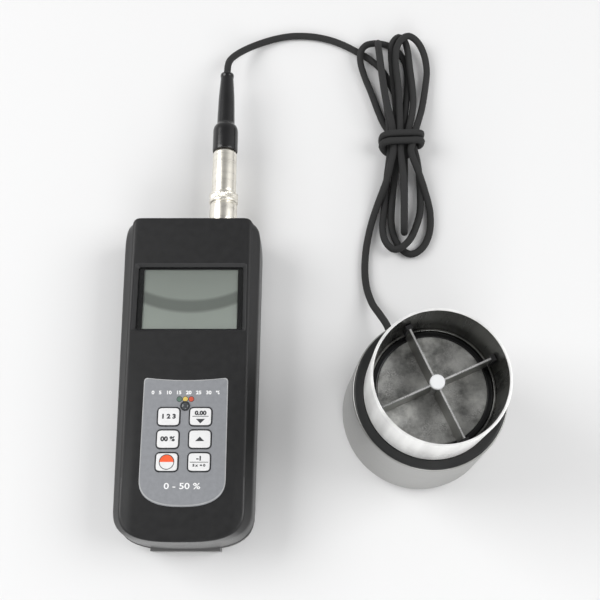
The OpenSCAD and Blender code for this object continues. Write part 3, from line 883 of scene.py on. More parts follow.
@dataclass
class Lead:
    """The coaxial lead from the plug through its tied hank to the cup.

    The stretches are in the order in which the lead runs. Above the tie are loops a, d, c and b,
    and below it folds g, f and e.
    """

    diameter: float = 3.8
    tie_centre: tuple[float, float, float] = (52.3, 128.0, 7.35)
    tie_half: tuple[float, float] = (10.8, 5.45)
    tie_pitch: float = 4.4
    gland_exit: tuple[float, float, float] = (0.0406, 0.0247, 0.012)
    from_plug: list = field(default_factory=lambda: [
        (-43.7, 137, 16.5), (-43.7, 150, 16.5), (-43.7, 163, 16.5), (-43.7, 169.5, 16.5),
        (-43.2, 176, 15), (-41, 182, 11.6), (-36, 189, 7), (-29, 195, 3.6), (-20, 199.5, 2.1),
        (-11, 201.8, 1.9), (-3.5, 202.3, 1.9), (5, 201.7, 1.9), (14, 199.5, 1.9),
        (22, 196, 1.9), (29, 191.8, 1.9), (36, 187, 1.9),
    ])
    under_hank: list = field(default_factory=lambda: [
        (43.3, 179.5, 1.9), (49.4, 166.4, 1.9), (53.4, 155.8, 1.9), (55.7, 148.5, 2.4), (57.4, 141.1, 4.8),
        (57.8, 134.6, 5.7), (57.8, 129.7, 5.5), (57.5, 126.6, 3.8), (54.4, 124.9, 2), (48.9, 125.4, 1.95),
        (44.2, 126.8, 3),
    ])
    loop_a: list = field(default_factory=lambda: [
        (47.7, 139.7, 1.95), (44.1, 143.7, 1.95), (40.9, 151.7, 1.95), (36.9, 164.8, 1.95),
        (33.2, 175.7, 2.2),
        (31.1, 183.1, 4), (31.2, 189, 5.7), (34.2, 193.8, 5), (38.8, 196.1, 3.6), (43.2, 196.5, 2.7),
        (48.3, 195.1, 2.2), (53.2, 191.2, 2), (56.6, 184.9, 2), (57.7, 177.9, 2), (57.5, 169.3, 2.8),
        (56.3, 158.1, 4.8), (54.9, 147.5, 5.9), (53.9, 138.6, 5.7),
    ])
    fold_g: list = field(default_factory=lambda: [
        (53.9, 126.6, 5.7), (53.8, 112.9, 3.2), (53.5, 99.4, 1.95), (53, 87.3, 1.95), (52.6, 82, 2.6),
        (52.1, 77.8, 6), (51.7, 79.6, 9.4), (51.8, 84.6, 10), (52.2, 95.9, 9.6), (52.3, 110, 9.2),
        (51.5, 124.9, 9),
    ])
    loop_d: list = field(default_factory=lambda: [
        (51.5, 136.8, 9), (51.7, 147.6, 9.2), (51.7, 162.4, 9.3), (50.6, 177.1, 9.5), (51, 187, 9.6),
        (53.6, 194, 9.4), (58.3, 197.8, 8.6), (63.5, 195.4, 6.8), (67.3, 188.8, 4.6),
        (68.8, 179, 3.4), (67.7, 168.9, 3.6), (64.9, 153.8, 5.4), (62, 143.5, 7.6), (60, 136.7, 9.2),
        (58.6, 131, 10.6),
    ])
    fold_f: list = field(default_factory=lambda: [
        (57, 125, 9.7), (58.5, 119.4, 8.3), (61.2, 112.8, 6.4), (64.1, 103.8, 4.4), (66.9, 91.1, 2.4),
        (66.1, 79.2, 1.95), (61.9, 70.5, 1.95), (55.9, 66.9, 1.95), (50.8, 69.8, 1.95),
        (47.3, 76.2, 1.95), (45.8, 85.3, 1.95), (46.8, 99.4, 1.95), (48.5, 112.8, 3.4), (50, 126.6, 5.7),
    ])
    loop_c: list = field(default_factory=lambda: [
        (50, 138.6, 5.7), (50.1, 149.6, 5.7), (49.9, 160.2, 5.7), (48.9, 175.6, 5.7), (48.5, 187.3, 6),
        (49.3, 194.2, 6.2), (52.9, 198.7, 6), (56.5, 196.3, 5.8), (58.2, 188.5, 5.7), (58.8, 179.6, 5.7),
        (59.7, 167.4, 6), (59.7, 154.8, 7), (58.2, 145.2, 8.2), (56.5, 137.1, 8.4), (58.2, 131.9, 6.4),
    ])
    fold_e: list = field(default_factory=lambda: [
        (59.6, 125.8, 5.9), (60.9, 120.1, 4.8), (62, 110.7, 2.2), (61.6, 92.8, 3.2), (59, 82.6, 4.8),
        (55.5, 74.7, 5.7), (50.9, 69.7, 5.8), (46, 68.3, 5.8), (42, 73.2, 5), (40.9, 81.8, 3),
        (42.3, 93.3, 1.95), (44.2, 111.5, 1.95), (45.2, 118.7, 3.6), (46.1, 126.6, 5.7),
    ])
    loop_b: list = field(default_factory=lambda: [
        (46.1, 138.6, 5.7), (45.4, 151.8, 5.4), (43.8, 166, 5), (42.6, 178, 5), (41.8, 186.7, 5.4),
        (41.3, 191.3, 6.9), (40.8, 192, 10.4), (40.6, 186.6, 13.7), (41.2, 180, 14.2),
        (42.5, 166.9, 13.2), (44.7, 152.3, 11.4), (46.7, 143.2, 10), (47.6, 136.8, 9),
    ])
    to_cup: list = field(default_factory=lambda: [
        (47.6, 124.9, 9), (46.2, 118.4, 8.2), (44.2, 110.1, 6.8), (41.7, 103, 5.4), (38.8, 95.7, 3.4),
        (35.9, 87.3, 2), (33.5, 78.3, 1.9), (31.8, 69.2, 1.9), (30.9, 58, 1.9), (31.6, 48, 2.4),
        (34, 38.4, 5.2), (37.3, 31.2, 9.6), (40.6, 24.7, 12), (42.5, 18.9, 12),
    ])

    def tie(self) -> list:
        """Nearly two turns round the bundle.

        Each point lies on an upright superellipse round the strands, and moves along +Y by
        the pitch in each turn.

        Returns:
            The points.
        """
        x, y, z = self.tie_centre
        half_x, half_z = self.tie_half
        turn = np.linspace(0, 1.72, 26)
        angle = np.pi - 2 * np.pi * turn
        across = x + half_x * signed_power(np.cos(angle), 0.5)
        up = z + half_z * signed_power(np.sin(angle), 0.5)
        return np.column_stack([across, y + self.tie_pitch * turn, up]).tolist()

    def route(self) -> np.ndarray:
        """The whole centreline.

        Returns:
            Points 1.5 mm apart, in millimetres, from the plug to the cup.
        """
        stretches = [self.from_plug, self.under_hank, self.tie(), self.loop_a, self.fold_g, self.loop_d,
                     self.fold_f, self.loop_c, self.fold_e, self.loop_b, self.to_cup]
        return smooth_path([point for stretch in stretches for point in stretch], 1.5)

    def build(self) -> None:
        path = self.route() * MM
        curve = bpy.data.curves.new("lead", "CURVE")
        curve.dimensions, curve.bevel_depth, curve.bevel_resolution = "3D", self.diameter / 2 * MM, 5
        curve.use_fill_caps = True
        spline = curve.splines.new("POLY")
        spline.points.add(len(path) - 1)
        weighted = np.column_stack([path, np.ones(len(path))])
        spline.points.foreach_set("co", weighted.astype(np.float32).ravel())
        spline.use_smooth = True
        curve.materials.append(JACKET.build())
        lead = bpy.data.objects.new("lead", curve)
        bpy.context.scene.collection.objects.link(lead)
        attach(lead, Body.MAIN.value)
        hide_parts("lead_to_hank", "lead_hank", "lead_to_cup")


# ---- Connector ----


@dataclass
class Connector:
    """The bayonet plug: coupling ring, barrel and boot, turned about an axis along +Y."""

    ring_r: float = 7.15
    knurl_r: float = 7.55
    barrel_r: float = 6.4
    boot_r: float = 6.7
    flutes: int = 40

    def __post_init__(self) -> None:
        """Finds the axis and the wall that the plug stands on."""
        at = middle("coupling_ring")
        self.wall = lowest("socket_washer")[1]
        self.axis = Axis((at[0], self.wall, at[2]), Way.ALONG)

    def ring(self) -> None:
        """The coupling ring: a smooth drum, two beads and a knurled grip between them."""
        r, k = self.ring_r, self.knurl_r
        profile = rounded([
            (5.9, 3.2, 0.2), (r - 0.25, 3.0, 0.4), (r, 4.2, 0.5), (r, 12.6, 0.5), (r - 0.55, 13.1, 0.3),
            (r - 0.55, 13.9, 0.3), (k - 0.1, 14.2, 0.3), (k, 15.3, 0.35), (k - 0.35, 15.6, 0.12),
            (k - 0.35, 17.8, 0.12), (k, 18.1, 0.35), (k - 0.1, 19.4, 0.35), (5.05, 19.4, 0.1),
            (5.05, 13.9, 0.1), (5.8, 13.4, 0.1),
        ], 4)

        def flute(angle: np.ndarray, height: np.ndarray) -> np.ndarray:
            """Cuts V grooves into the grip: a folded cosine of the angle.

            Args:
                angle: Angles round the axis.
                height: Heights along it.

            Returns:
                The change of radius.
            """
            inside = (height > 15.45) & (height < 17.95)
            return np.where(inside, 0.22 * np.abs(np.cos(self.flutes * angle / 2)), 0.0)

        rings = self.axis.turn(profile, 320, flute)
        piece = skin("coupling_ring_skin", rings, NICKEL, Body.RING.value, wrap=True)
        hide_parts("coupling_ring")

    def barrel(self) -> None:
        """The plug's barrel, with a bright bead where the boot grips it."""
        r = self.barrel_r
        profile = rounded([
            (3.4, 2.0, 0.1), (3.95, 2.0, 0.2), (3.95, 11.2, 0.1), (5.0, 11.2, 0.1), (5.0, 19.7, 0.1),
            (r - 0.1, 19.7, 0.4), (r, 21.2, 0.5), (r, 28, 0), (r - 0.12, 43.2, 0.4), (5.4, 44.4, 0.2),
            (5.4, 56.2, 0.3), (2.0, 56.2, 0.1), (2.0, 23.95, 0.1), (3.4, 23.95, 0.1),
        ], 4)
        piece = skin("plug_barrel_skin", self.axis.turn(profile, 128), NICKEL, Body.MAIN.value, wrap=True)
        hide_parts("plug_barrel")

    def boot(self) -> None:
        """The rubber boot: a drum, a round shoulder and a long taper to a soft lip."""
        r = self.boot_r
        profile = rounded([
            (5.42, 44.45, 0.1), (r - 0.15, 44.42, 0.35), (r, 45.6, 0.6), (r, 58.6, 2.6), (4.75, 60.9, 1.1),
            (4.3, 78, 4), (3.45, 89.8, 0.8), (3.7, 90.9, 0.5), (3.6, 92.2, 0.5), (1.98, 92.3, 0.1),
            (1.98, 56.4, 0.1), (5.42, 56.4, 0.1),
        ], 8)
        piece = skin("plug_boot_skin", self.axis.turn(profile, 96), RUBBER, Body.MAIN.value, wrap=True)
        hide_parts("plug_boot")

    def build(self) -> None:
        """Makes the plug's outer pieces."""
        self.ring()
        self.barrel()
        self.boot()


# ---- Handset ----


@dataclass
class Handset:
    """The hand-held case with its display, keypad panel and keys."""

    length: float = 161.0
    top_width: float = 69.5
    bottom_width: float = 64.6
    height: float = 32.0
    seam: float = 11.0
    far_depth: float = 34.0
    near_depth: float = 18.0
    recess: tuple[float, float] = (55.6, 35.2)
    recess_depth: float = 2.25
    display_y: float = 38.0
    panel_y: float = -32.5
    divide_y: float = 10.0
    key_size: tuple[float, float] = (10.7, 8.9)
    key_names: tuple[str, ...] = ("select", "zero", "read", "up", "power", "delete")
    points: int = 320

    def __post_init__(self) -> None:
        """Finds the middle of the case."""
        self.centre = middle("rear_case")[:2]

    def half_width(self, y: np.ndarray) -> np.ndarray:
        """Half of the case's width, which narrows evenly to the keypad end.

        Args:
            y: Distance from the case's middle.

        Returns:
            Half of the width there.
        """
        return (self.bottom_width + (self.top_width - self.bottom_width) * (y / self.length + 0.5)) / 2

    def outline(self, side: float, far: float, near: float, far_power: float = 8,
                near_power: float = 3) -> np.ndarray:
        """Plan of the case: straight sides and superellipse ends, evenly spaced.

        Args:
            side: Inset of the long sides at the keypad end.
            far: Inset at the display end.
            near: Inset at the keypad end.
            far_power: Squareness of the display end's corners.
            near_power: Squareness of the keypad end's corners.

        Returns:
            The closed plan about the case's middle.
        """
        t = np.linspace(0, np.pi, 600, endpoint=False)
        ends = []
        display_end = (1, far, far_power, self.far_depth)
        keypad_end = (-1, near, near_power, self.near_depth)
        for sign, inset, power, depth in (display_end, keypad_end):
            rise = np.abs(np.sin(t)) ** (2 / power)
            y = sign * (self.length / 2 - depth + (depth - inset) * rise)
            slope = side * (1 + 0.45 * (y / self.length + 0.5)) if side > 1 else side
            x = sign * (self.half_width(y) - slope) * signed_power(np.cos(t), 2 / power)
            ends.append(np.column_stack([x, y]))
        loop = np.vstack(ends)
        loop = np.vstack([loop, loop[:1]])
        gone = np.concatenate([[0], np.cumsum(np.linalg.norm(np.diff(loop, axis=0), axis=1))])
        even = np.linspace(0, gone[-1], self.points, endpoint=False)
        return np.column_stack([np.interp(even, gone, loop[:, k]) for k in range(2)])

    def fall(self, plan: np.ndarray) -> np.ndarray:
        """How far the face drops near its long sides, most at the keypad end.

        Args:
            plan: Points about the case's middle.

        Returns:
            The drop of each point.
        """
        x, y = np.abs(plan[..., 0]), plan[..., 1]
        out = np.clip((x - 22.5) / 7, 0, 1)
        down = np.clip((5 - y) / 60, 0, 1)
        return 0.75 * out * out * (3 - 2 * out) * down

    def lift(self, plan: np.ndarray, z: float | np.ndarray) -> np.ndarray:
        """Gives a plan its height and its place in the shared frame.

        Args:
            plan: Points about the case's middle.
            z: Height of the points.

        Returns:
            Points with three numbers each.
        """
        level = np.broadcast_to(z, plan.shape[:-1])
        return np.concatenate([plan + self.centre, level[..., None]], -1)

    def hole_points(self, ring: np.ndarray, hole: np.ndarray) -> np.ndarray:
        """Where lines from the hole's middle to a ring's points cross the hole's edge.

        The crossing with each edge is solved for all pairs at once, and the one in front
        of the middle is kept.

        Args:
            ring: Outer points.
            hole: Closed outline of the hole.

        Returns:
            One point on the hole for each ring point.
        """
        middle_point = (hole.max(0) + hole.min(0)) / 2
        ray = (ring - middle_point)[:, None, :]
        start, end = hole[None, :, :], np.roll(hole, -1, 0)[None, :, :]
        edge, gap = end - start, start - middle_point
        cross = ray[..., 0] * edge[..., 1] - ray[..., 1] * edge[..., 0]
        cross = np.where(np.abs(cross) < 1e-12, 1e-12, cross)
        along = (gap[..., 0] * edge[..., 1] - gap[..., 1] * edge[..., 0]) / cross
        part = (gap[..., 0] * ray[..., 1] - gap[..., 1] * ray[..., 0]) / cross
        good = (part >= -1e-9) & (part <= 1 + 1e-9) & (along > 0)
        pick = np.argmin(np.where(good, along, np.inf), 1)
        scale = along[np.arange(len(ring)), pick][:, None]
        return middle_point + ray[:, 0, :] * scale

    def zone(self, edge: np.ndarray, upper: bool) -> np.ndarray:
        """The part of the face's edge above or below a line between its two sides, closed by that line.

        Args:
            edge: The face's edge.
            upper: True for the display's part.

        Returns:
            A closed outline.
        """
        off = np.abs(edge[:, 1] - self.divide_y)
        right, left = (int(np.argmin(np.where(edge[:, 0] * sign > 0, off, np.inf))) for sign in (1, -1))
        first, last = (right, left) if upper else (left, right)
        kept = edge[np.arange(first, last + len(edge) * (last < first) + 1) % len(edge)]
        line = edge[last] + (edge[first] - edge[last]) * np.linspace(0, 1, 62)[1:-1, None]
        return np.vstack([kept, line])

    def panel_plan(self, gap: float = 0.0) -> np.ndarray:
        """Plan of the keypad panel: hollow top edge, straight sides and an arched foot.

        Args:
            gap: Distance outside the panel's edge.

        Returns:
            The closed plan about the case's middle.
        """
        half, corner, hollow, arch, rise, fall = 20.0, 1.6, 1.1, 12.5, 29.7, 17.5
        edge, top_y, foot = half - corner, self.panel_y + rise + gap, self.panel_y - fall
        u = np.linspace(1, -1, 41)
        head = np.column_stack([u * edge, top_y - hollow * (1 - u * u)])
        t = np.radians(np.linspace(90, 180, 9))[1:]
        left = np.column_stack([-edge - gap + corner * np.cos(t), top_y - corner + corner * np.sin(t)])
        t = np.radians(np.linspace(180, 360, 73))
        across = (half + gap) * signed_power(np.cos(t), 0.8)
        base = np.column_stack([across, foot + (arch + gap) * signed_power(np.sin(t), 0.8)])
        t = np.radians(np.linspace(0, 90, 9))[:-1]
        right = np.column_stack([edge + gap + corner * np.cos(t), top_y - corner + corner * np.sin(t)])
        return np.vstack([head, left, base, right])

    def front_shell(self) -> None:
        """The front half of the case, as strips that share their edges.

        Rings of the plan rise up the walls, lean in over the long sides and end at the face's
        edge. Two strips fill the face from that edge to the display's recess and to the panel's
        bed. A strip's rows lie evenly between its outer and its inner outline.
        """
        h = self.height
        walls = [
            (self.seam, 0.2, 0.2, 0.2, 8, 3), (self.seam + 0.2, 0.0, 0, 0.0, 8, 3),
            (16, 0.0, 0.05, 0.45, 8, 3), (22, 0.15, 0.1, 1.0, 8, 3),
            (26.2, 0.3, 0.15, 1.4, 8.2, 3), (27.4, 0.7, 0.2, 1.5, 8.5, 3),
            (28.0, 1.05, 0.25, 1.55, 9, 3), (30.9, 3.05, 0.4, 1.85, 22, 3), (31.5, 3.45, 0.5, 1.95, 26, 3),
            (31.85, 3.85, 0.7, 2.05, 30, 3), (h, 4.4, 1.1, 2.35, 30, 3),
        ]
        rings = []
        for z, side, far, near, far_power, near_power in walls:
            plan = self.outline(side, far, near, far_power, near_power)
            rings.append(self.lift(plan, z - self.fall(plan) * np.clip((z - 20) / 10, 0, 1)))
        rows = np.stack(rings)
        points, faces = [rows.reshape(-1, 3)], [quads(len(rows), self.points, False)]
        edge = self.outline(*walls[-1][1:])
        w, d = self.recess
        recess = self.box_plan(self.display_y, w, d, 1.0)
        foot = self.box_plan(self.display_y, w - 3.6, d - 3.0, 0.6)
        for upper, hole, sill in ((True, recess, foot), (False, self.panel_plan(0.1), self.panel_plan(0.1))):
            ring = self.zone(edge, upper)
            inner = self.hole_points(ring, hole)
            sill_points = self.hole_points(ring, sill)
            share = np.array([0, 0.08, 0.2, 0.35, 0.5, 0.65, 0.8, 0.92, 1.0])[:, None, None]
            plans = ring + (inner - ring) * share
            strip = self.lift(plans, h - self.fall(plans))
            lip = [self.lift(inner + (sill_points - inner) * s, h - drop)
                   for s, drop in ((0.06, 0.06), (0.16, 0.2), (0.9, 2.1), (1.0, self.recess_depth))]
            stack = np.concatenate([strip, np.stack(lip)])
            faces.append(quads(len(stack), len(ring), False) + sum(len(p) for p in points))
            points.append(stack.reshape(-1, 3))
        piece = make_object("front_shell", np.concatenate(points) * MM, np.concatenate(faces).tolist(), CASE,
                            Body.MAIN.value)
        x, y = self.centre
        # The walls below the face take the finish with the painted pale sheen at the keypad end.
        second_finish(piece, WALL, lambda at: at[:, 2] < 31.3)

        def in_recess(at: np.ndarray) -> np.ndarray:
            """Picks the faces that lie below the face and within the recess's plan.

            Args:
                at: The faces' centres, in millimetres.

            Returns:
                True for each face in the recess.
            """
            deep = (at[:, 2] < h - 0.07) & (at[:, 2] > 29.5)
            across = np.abs(at[:, 0] - x) < w / 2 + 0.05
            return deep & across & (np.abs(at[:, 1] - y - self.display_y) < d / 2 + 0.05)

        # The recess's walls take the plain inner black as painted shade, for the shadow that falls on them.
        second_finish(piece, INNER, in_recess)
        thick = piece.modifiers.new("wall", "SOLIDIFY")
        thick.thickness, thick.offset = 1.4 * MM, -1
        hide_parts("front_case")

    def box_plan(self, y: float, width: float, depth: float, corner: float) -> np.ndarray:
        """A rectangle with small round corners.

        Args:
            y: Its middle, from the case's middle.
            width: Size across.
            depth: Size along.
            corner: Length that a corner's rounding takes.

        Returns:
            The closed plan about the case's middle.
        """
        w, d = width / 2, depth / 2
        return rounded([(w, y - d, corner), (w, y + d, corner), (-w, y + d, corner), (-w, y - d, corner)], 6)

    def key_centre(self, name: str) -> np.ndarray:
        """Centre of a key in the shared frame.

        Args:
            name: The key's name.

        Returns:
            x, y and z in millimetres.
        """
        return middle("key_" + name)

    def key(self, name: str) -> None:
        """A key cap: superellipse rings that rise, round over and crown in the middle.

        Args:
            name: The key's name.
        """
        x, y, _ = self.key_centre(name)
        top = highest("key_" + name)[2]
        w, d = self.key_size
        levels = [
            (28.4, 1.7, 0.8), (29.5, 1.7, 0.8), (29.52, 0, 0), (top - 0.42, 0, 0), (top - 0.3, -0.1, -0.1),
            (top - 0.22, -0.3, -0.3), (top - 0.22, -0.85, -0.85), (top - 0.06, -0.95, -0.95),
            (top - 0.02, -1.3, -1.3), (top, -3.5, -3.0), (top, -7, -6),
        ]
        rings = np.stack([np.column_stack([soft_box((x, y), w + dx, d + dy, 6.5, 96), np.full(96, z)])
                          for z, dx, dy in levels])
        piece = skin(f"key_{name}_cap", rings, INK_DARK, "key_" + name)
        second_finish(piece, KEY_WHITE, lambda at: at[:, 2] > top - 0.2)
        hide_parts("key_" + name)

    def build(self) -> None:
        """Makes the case, the keys and the printing."""
        self.front_shell()
        for name in self.key_names:
            self.key(name)
        Legends(self).build()
        x, y, _ = middle("lcd_glass")
        # The display cell carries a painted reflection arc and a paler foot of painted light; shade sets how
        # strong both are.
        glass = DisplayGlass("display_cell", (0.57, 0.605, 0.56), 0.3, shade=0.34, depth=0.002, specular=0.3,
                             centre=(x, y))
        dress("lcd_glass", glass)


@dataclass
class Legends:
    """Plain printed marks on the panel and the keys."""

    handset: Handset

    def triangle(self, name: str, key: str, drop: float, up: bool) -> None:
        """A filled arrow on a key.

        Args:
            name: Name of the piece.
            key: Name of the key.
            drop: Distance below the key's middle.
            up: True if it points to the display.
        """
        x, y, _ = self.handset.key_centre(key)
        top = highest("key_" + key)[2]
        sign = 1 if up else -1
        foot, tip = y - drop - 0.95 * sign, y - drop + 1.15 * sign
        plan = np.array([(x - 2.1, foot), (x + 2.1, foot), (x, tip)])
        flat_plate(name, plan, top - 0.05, top + 0.03, INK_DARK, "key_" + key)

    def bar(self, name: str, key: str, dy: float, width: float) -> None:
        """A thin line across a key.

        Args:
            name: Name of the piece.
            key: Name of the key.
            dy: Distance above the key's middle.
            width: Length of the line.
        """
        x, y, _ = self.handset.key_centre(key)
        top = highest("key_" + key)[2]
        plan = np.array([(x - width / 2, y + dy - 0.14), (x + width / 2, y + dy - 0.14),
                         (x + width / 2, y + dy + 0.14), (x - width / 2, y + dy + 0.14)])
        flat_plate(name, plan, top - 0.05, top + 0.03, INK_DARK, "key_" + key)

    def half_disc(self) -> None:
        """The power mark: a circle whose upper half is orange-red."""
        x, y, _ = self.handset.key_centre("power")
        top = highest("key_power")[2]
        body = "key_power"
        t = np.linspace(0, np.pi, 33)
        half = np.column_stack([x + 3.2 * np.cos(t), y + 3.2 * np.sin(t)])
        flat_plate("power_mark_fill", half, top - 0.05, top + 0.03, INK_ORANGE, body)
        outer, inner = soft_box((x, y), 7.1, 7.1, 2, 72), soft_box((x, y), 6.4, 6.4, 2, 72)
        band("power_mark_ring", outer, inner, top - 0.05, top + 0.035, INK_DARK, body)

    def dots(self) -> None:
        """Three coloured dots above the lamp: dry, fair and wet."""
        x, y, _ = middle("status_led")
        high = highest("keypad_panel")[2]
        for name, dx, ink in (("green", -2.8, INK_GREEN), ("yellow", 0, INK_YELLOW), ("red", 2.8, INK_RED)):
            at = (x + dx, y + 3.3)
            disc = flat_plate(f"dot_{name}", soft_box(at, 2.3, 2.3, 2, 40), high - 0.01, high + 0.05, ink,
                              Body.MAIN.value)
            ring = band(f"dot_{name}_ring", soft_box(at, 2.75, 2.75, 2, 40), soft_box(at, 2.2, 2.2, 2, 40),
                        high - 0.01, high + 0.045, INK_DARK, Body.MAIN.value)

    def lamp(self) -> None:
        """The lamp: a smoked dome in a dark bezel."""
        x, y, _ = middle("status_led")
        high = highest("keypad_panel")[2]
        angle = np.linspace(0, np.pi / 2, 9)
        dome = np.column_stack([1.75 * np.cos(angle), high + 0.1 + 0.75 * np.sin(angle)])
        stem = [[0.02, 25.0], [1.4, 25.0], [1.4, 29.8], [1.75, 29.9]]
        profile = np.vstack([stem, dome[:-1], [0.02, high + 0.85]])
        piece = skin("status_lamp", Axis((x, y, 0)).turn(profile, 48), LAMP, Body.MAIN.value)
        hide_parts("status_led")
        bezel = band("lamp_bezel", soft_box((x, y), 4.7, 4.7, 2, 64), soft_box((x, y), 3.75, 3.75, 2, 64),
                     high - 0.01, high + 0.2, INK_DARK, Body.MAIN.value)

    def rim(self) -> None:
        """The panel's pale edge line."""
        plan = self.handset.panel_plan() + self.handset.centre
        middle_point = (plan.max(0) + plan.min(0)) / 2
        half = (plan.max(0) - plan.min(0)) / 2
        inner = middle_point + (plan - middle_point) * (1 - 0.42 / half)
        high = highest("keypad_panel")[2]
        band("panel_rim", plan, inner, high - 0.01, high + 0.04, TRIM, Body.MAIN.value)

    def build(self) -> None:
        """Prints every mark."""
        high = highest("keypad_panel")[2] + 0.012
        x, y, _ = middle("status_led")
        body = Body.MAIN.value
        scale = "0   5   10   15   20   25   30   %"
        lettering("scale_numbers", scale, 2.3, (x, y + 6.4), high, INK_WHITE, body, 1.12)
        foot = self.handset.panel_y + self.handset.centre[1] - 21.2
        lettering("range_numbers", "0 - 50 %", 3.9, (x, foot), high, INK_WHITE, body, 1.3, 0.012)
        marks = (
            ("select", "1 2 3", 2.9, 0.0), ("zero", "0.00", 2.7, 1.6), ("read", "00 %", 2.9, 0.0),
            ("delete", "-1", 2.7, 1.6), ("delete", "5 x  = 0", 1.6, -1.6),
        )
        for key, words, size, dy in marks:
            kx, ky, _ = self.handset.key_centre(key)
            mark = lettering(f"key_{key}_mark_{len(words)}", words, size, (kx, ky + dy),
                             highest("key_" + key)[2] + 0.012, INK_DARK, "key_" + key, 1.16, 0.055)
        self.bar("zero_bar", "zero", 0.1, 7.6)
        self.bar("delete_bar", "delete", -0.1, 8.6)
        self.triangle("down_arrow", "zero", 2.1, False)
        self.triangle("up_arrow", "up", 0.0, True)
        self.half_disc()
        self.dots()
        self.lamp()
        self.rim()


# ---- Measuring cup ----


@dataclass
class Cup:
    """The round metal cup: can, collar, sleeve, floor and vanes, about one upright axis."""

    can_r: float = 37.2
    collar_r: float = 34.3
    bowl_r: float = 28.2
    collar_z: float = 55.0
    knurls: int = 150
    knurl_low: float = 56.5
    knurl_high: float = 71.0
    knurl_depth: float = 0.16
    vane_angle: float = 24.0
    vane_thick: float = 1.0
    vane_end: float = 26.0
    disc_r: float = 24.3
    seal_r: float = 27.0

    def __post_init__(self) -> None:
        """Finds the cup's axis and rim."""
        at = middle("cup_sleeve")
        self.axis = Axis((at[0], at[1], 0.0))
        self.rim = highest("cup_sleeve")[2]
        self.centre = at[:2]

    def turned(self, name: str, corners: Sequence[tuple[float, float, float]], finish: Finish,
               node: str, sides: int = 160, steps: int = 5) -> bpy.types.Object:
        """A closed turned piece that replaces a CAD node.

        Args:
            name: Name of the piece.
            corners: Radius, height and rounding of each corner of its section.
            finish: Its material.
            node: The CAD node that it replaces.
            sides: Number of points round.
            steps: Pieces in each rounding.

        Returns:
            The new object.
        """
        rings = self.axis.turn(rounded(corners, steps), sides)
        piece = skin(name, rings, finish, Body.MAIN.value, wrap=True)
        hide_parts(node)
        return piece

    def base(self) -> None:
        """The base plate and the slightly conical can above it."""
        c, z = self.collar_r, self.collar_z
        dress("base_plate", CAN)
        can = [
            (34.9, 3.45, 0.1), (self.can_r - 0.2, 3.45, 0.4), (self.can_r, 5.6, 0.7),
            (c + 0.75, z - 0.9, 0.5), (c + 0.45, z - 0.1, 0.3), (c + 0.06, z, 0.12),
            (c + 0.05, 42, 0.1), (32.4, 42, 0.1), (32.8, 9, 0.1), (34.9, 7, 0.1),
        ]
        self.turned("can_skin", can, CAN, "base_can")

    def collar(self) -> None:
        """The black collar, eased at its outer edge and undercut beside the sleeve."""
        c, z = self.collar_r, self.collar_z
        self.turned("collar_skin", [
            (22, 39, 0.1), (32.2, 39, 0.1), (32.2, 42.05, 0.1), (c, 42.05, 0.1), (c, z - 0.25, 0.35),
            (c - 0.55, z, 0.3), (30.4, z, 0.2), (30.05, z - 0.4, 0.1), (29.3, z - 0.4, 0.1),
            (29.3, 43, 0.1), (22, 43, 0.1),
        ], COLLAR, "collar_ring")

    def sleeve(self) -> None:
        """The open sleeve, with slanting knurls low on its outside.

        The knurl is a cosine of the angle and the height together, and a bell of the height
        fades it out at both ends of its band.
        """
        b, rim, foot = self.bowl_r, self.rim, self.collar_z + 0.05
        rows = np.linspace(self.knurl_low - 0.6, self.knurl_high + 1.0, 28)
        outer = [(30 - 0.5 * (z - foot) / (rim - foot), z, 0) for z in rows]
        section = [(b, 43.05, 0.1), (29.2, 43.05, 0.1), (29.2, foot, 0.1), (30, foot, 0.1), *outer,
                   (29.5, rim - 0.5, 0.25), (29.3, rim, 0.2), (b + 0.1, rim, 0.15), (b, rim - 0.4, 0.2)]

        def knurl(angle: np.ndarray, height: np.ndarray) -> np.ndarray:
            """Cuts the knurls.

            Args:
                angle: Angles round the axis.
                height: Heights along it.

            Returns:
                The change of radius.
            """
            begin = np.clip((height - self.knurl_low) / 1.2, 0, 1)
            inside = begin * np.clip((self.knurl_high - height) / 4.5, 0, 1)
            outside = (np.arange(len(height)) < outer_end)[:, None]
            on_wall = np.broadcast_to(inside, (len(height), angle.shape[1])) * outside
            ridge = 0.5 + 0.5 * np.cos(self.knurls * angle + 1.5 * height)
            return -self.knurl_depth * ridge * on_wall

        profile = rounded(section, 2)
        outer_end = int(np.argmax(profile[:, 1])) + 1
        rings = self.axis.turn(profile, 1200, knurl)
        piece = skin("sleeve_skin", rings, SLEEVE, Body.MAIN.value, wrap=True)
        x, y = self.centre
        # The inner wall takes the darker bowl steel, a painted reflection of the dark inside of the cup.
        second_finish(piece, BOWL, lambda at: np.hypot(at[:, 0] - x, at[:, 1] - y) < b + 0.06)
        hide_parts("cup_sleeve")

    def floor(self) -> None:
        """The cup's floor: mottled disc, black seal and thin bright ring."""
        z = lowest("floor_disc")[2]
        top = highest("floor_disc")[2]
        disc, seal = self.disc_r, self.seal_r
        plate = [
            (2.25, z, 0), (disc, z, 0.1), (disc, top - 0.1, 0.15), (disc - 0.2, top, 0.15),
            (12, top - 0.03, 0), (2.25, top, 0),
        ]
        self.turned("floor_skin", plate, FLOOR, "floor_disc", 128)
        gasket = [
            (disc + 0.05, z, 0.1), (seal, z, 0.1), (seal, z + 1.0, 0.3), (seal - 0.4, z + 1.25, 0.4),
            (disc + 0.5, z + 1.25, 0.4), (disc + 0.05, z + 1.0, 0.3),
        ]
        self.turned("seal_skin", gasket, RUBBER, "floor_seal")
        wall = self.bowl_r - 0.05
        hoop = [
            (seal + 0.05, z, 0.1), (wall, z, 0.1), (wall, z + 2.2, 0.15), (seal + 0.35, z + 2.2, 0.25),
            (seal + 0.05, z + 1.9, 0.2),
        ]
        # The retaining ring takes the same darker bowl steel with its painted reflection.
        self.turned("ring_skin", hoop, BOWL, "retaining_ring")

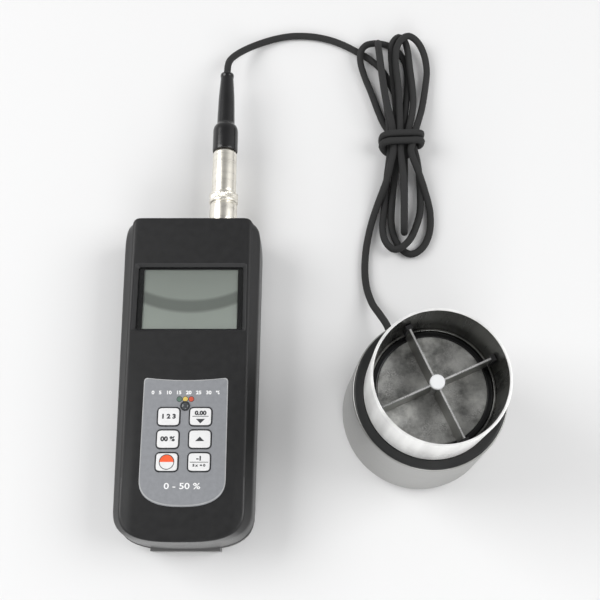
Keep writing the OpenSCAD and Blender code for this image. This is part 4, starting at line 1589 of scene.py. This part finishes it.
    def vanes(self) -> None:
        """Four upright plates with eased top edges."""
        low, high = lowest("vanes")[2], highest("vanes")[2]
        half, ease = self.vane_thick / 2, 0.22
        section = np.array([(-half, low), (half, low), (half, high - ease), (half - ease, high),
                            (-half + ease, high), (-half, high - ease)])
        start, end = 2.3, self.vane_end
        points, faces = [], []
        for quarter in range(4):
            turn = math.radians(self.vane_angle + 90 * quarter)
            along = np.array([math.cos(turn), math.sin(turn)])
            across = np.array([-math.sin(turn), math.cos(turn)])
            for reach in (start, end):
                plan = self.centre + along * reach + across * section[:, :1]
                points.append(np.column_stack([plan, section[:, 1]]))
            size = len(section)
            first = quarter * 2 * size
            faces += (quads(2, size, False) + first).tolist()
            faces += [list(range(begin, begin + size)) for begin in (first, first + size)]
        vertices = np.concatenate(points) * MM
        piece = make_object("vane_plates", vertices, faces, VANE, Body.MAIN.value, smooth=False)
        second_finish(piece, VANE_EDGE, lambda at: at[:, 2] > high - ease)
        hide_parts("vanes")

    def cap(self) -> None:
        """The white cap on the post, with a round edge and a slight crown."""
        z = lowest("post_cap")[2]
        section = np.array([
            [0.02, z], [3.25, z], [3.3, z + 0.1], [3.3, z + 1.5], [3.2, z + 1.8], [2.95, z + 2.0],
            [2.6, z + 2.06], [1.4, z + 2.09], [0.02, z + 2.1],
        ])
        piece = skin("post_cap_skin", self.axis.turn(section, 64), CAP, Body.MAIN.value)
        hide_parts("post_cap")

    def build(self) -> None:
        """Makes every piece of the cup that shows."""
        self.base()
        self.collar()
        self.sleeve()
        self.floor()
        self.vanes()
        self.cap()


# ---- Dressing and order ----


def dress(node: str, finish: Finish) -> None:
    """Gives a CAD node its finish.

    Args:
        node: Name of the node.
        finish: Its material.
    """
    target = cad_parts[node]
    target.data.materials.clear()
    target.data.materials.append(finish.build())


def main() -> None:
    """Builds the studio, the lead and every sub-assembly."""
    logging.basicConfig(level=logging.INFO, format="%(name)s: %(message)s")
    Studio().build()
    Connector().build()
    Lead().build()
    Handset().build()
    Cup().build()
    for finish, nodes in NODE_FINISHES.items():
        for node in nodes:
            dress(node, finish)


if __name__ == "__main__":
    main()
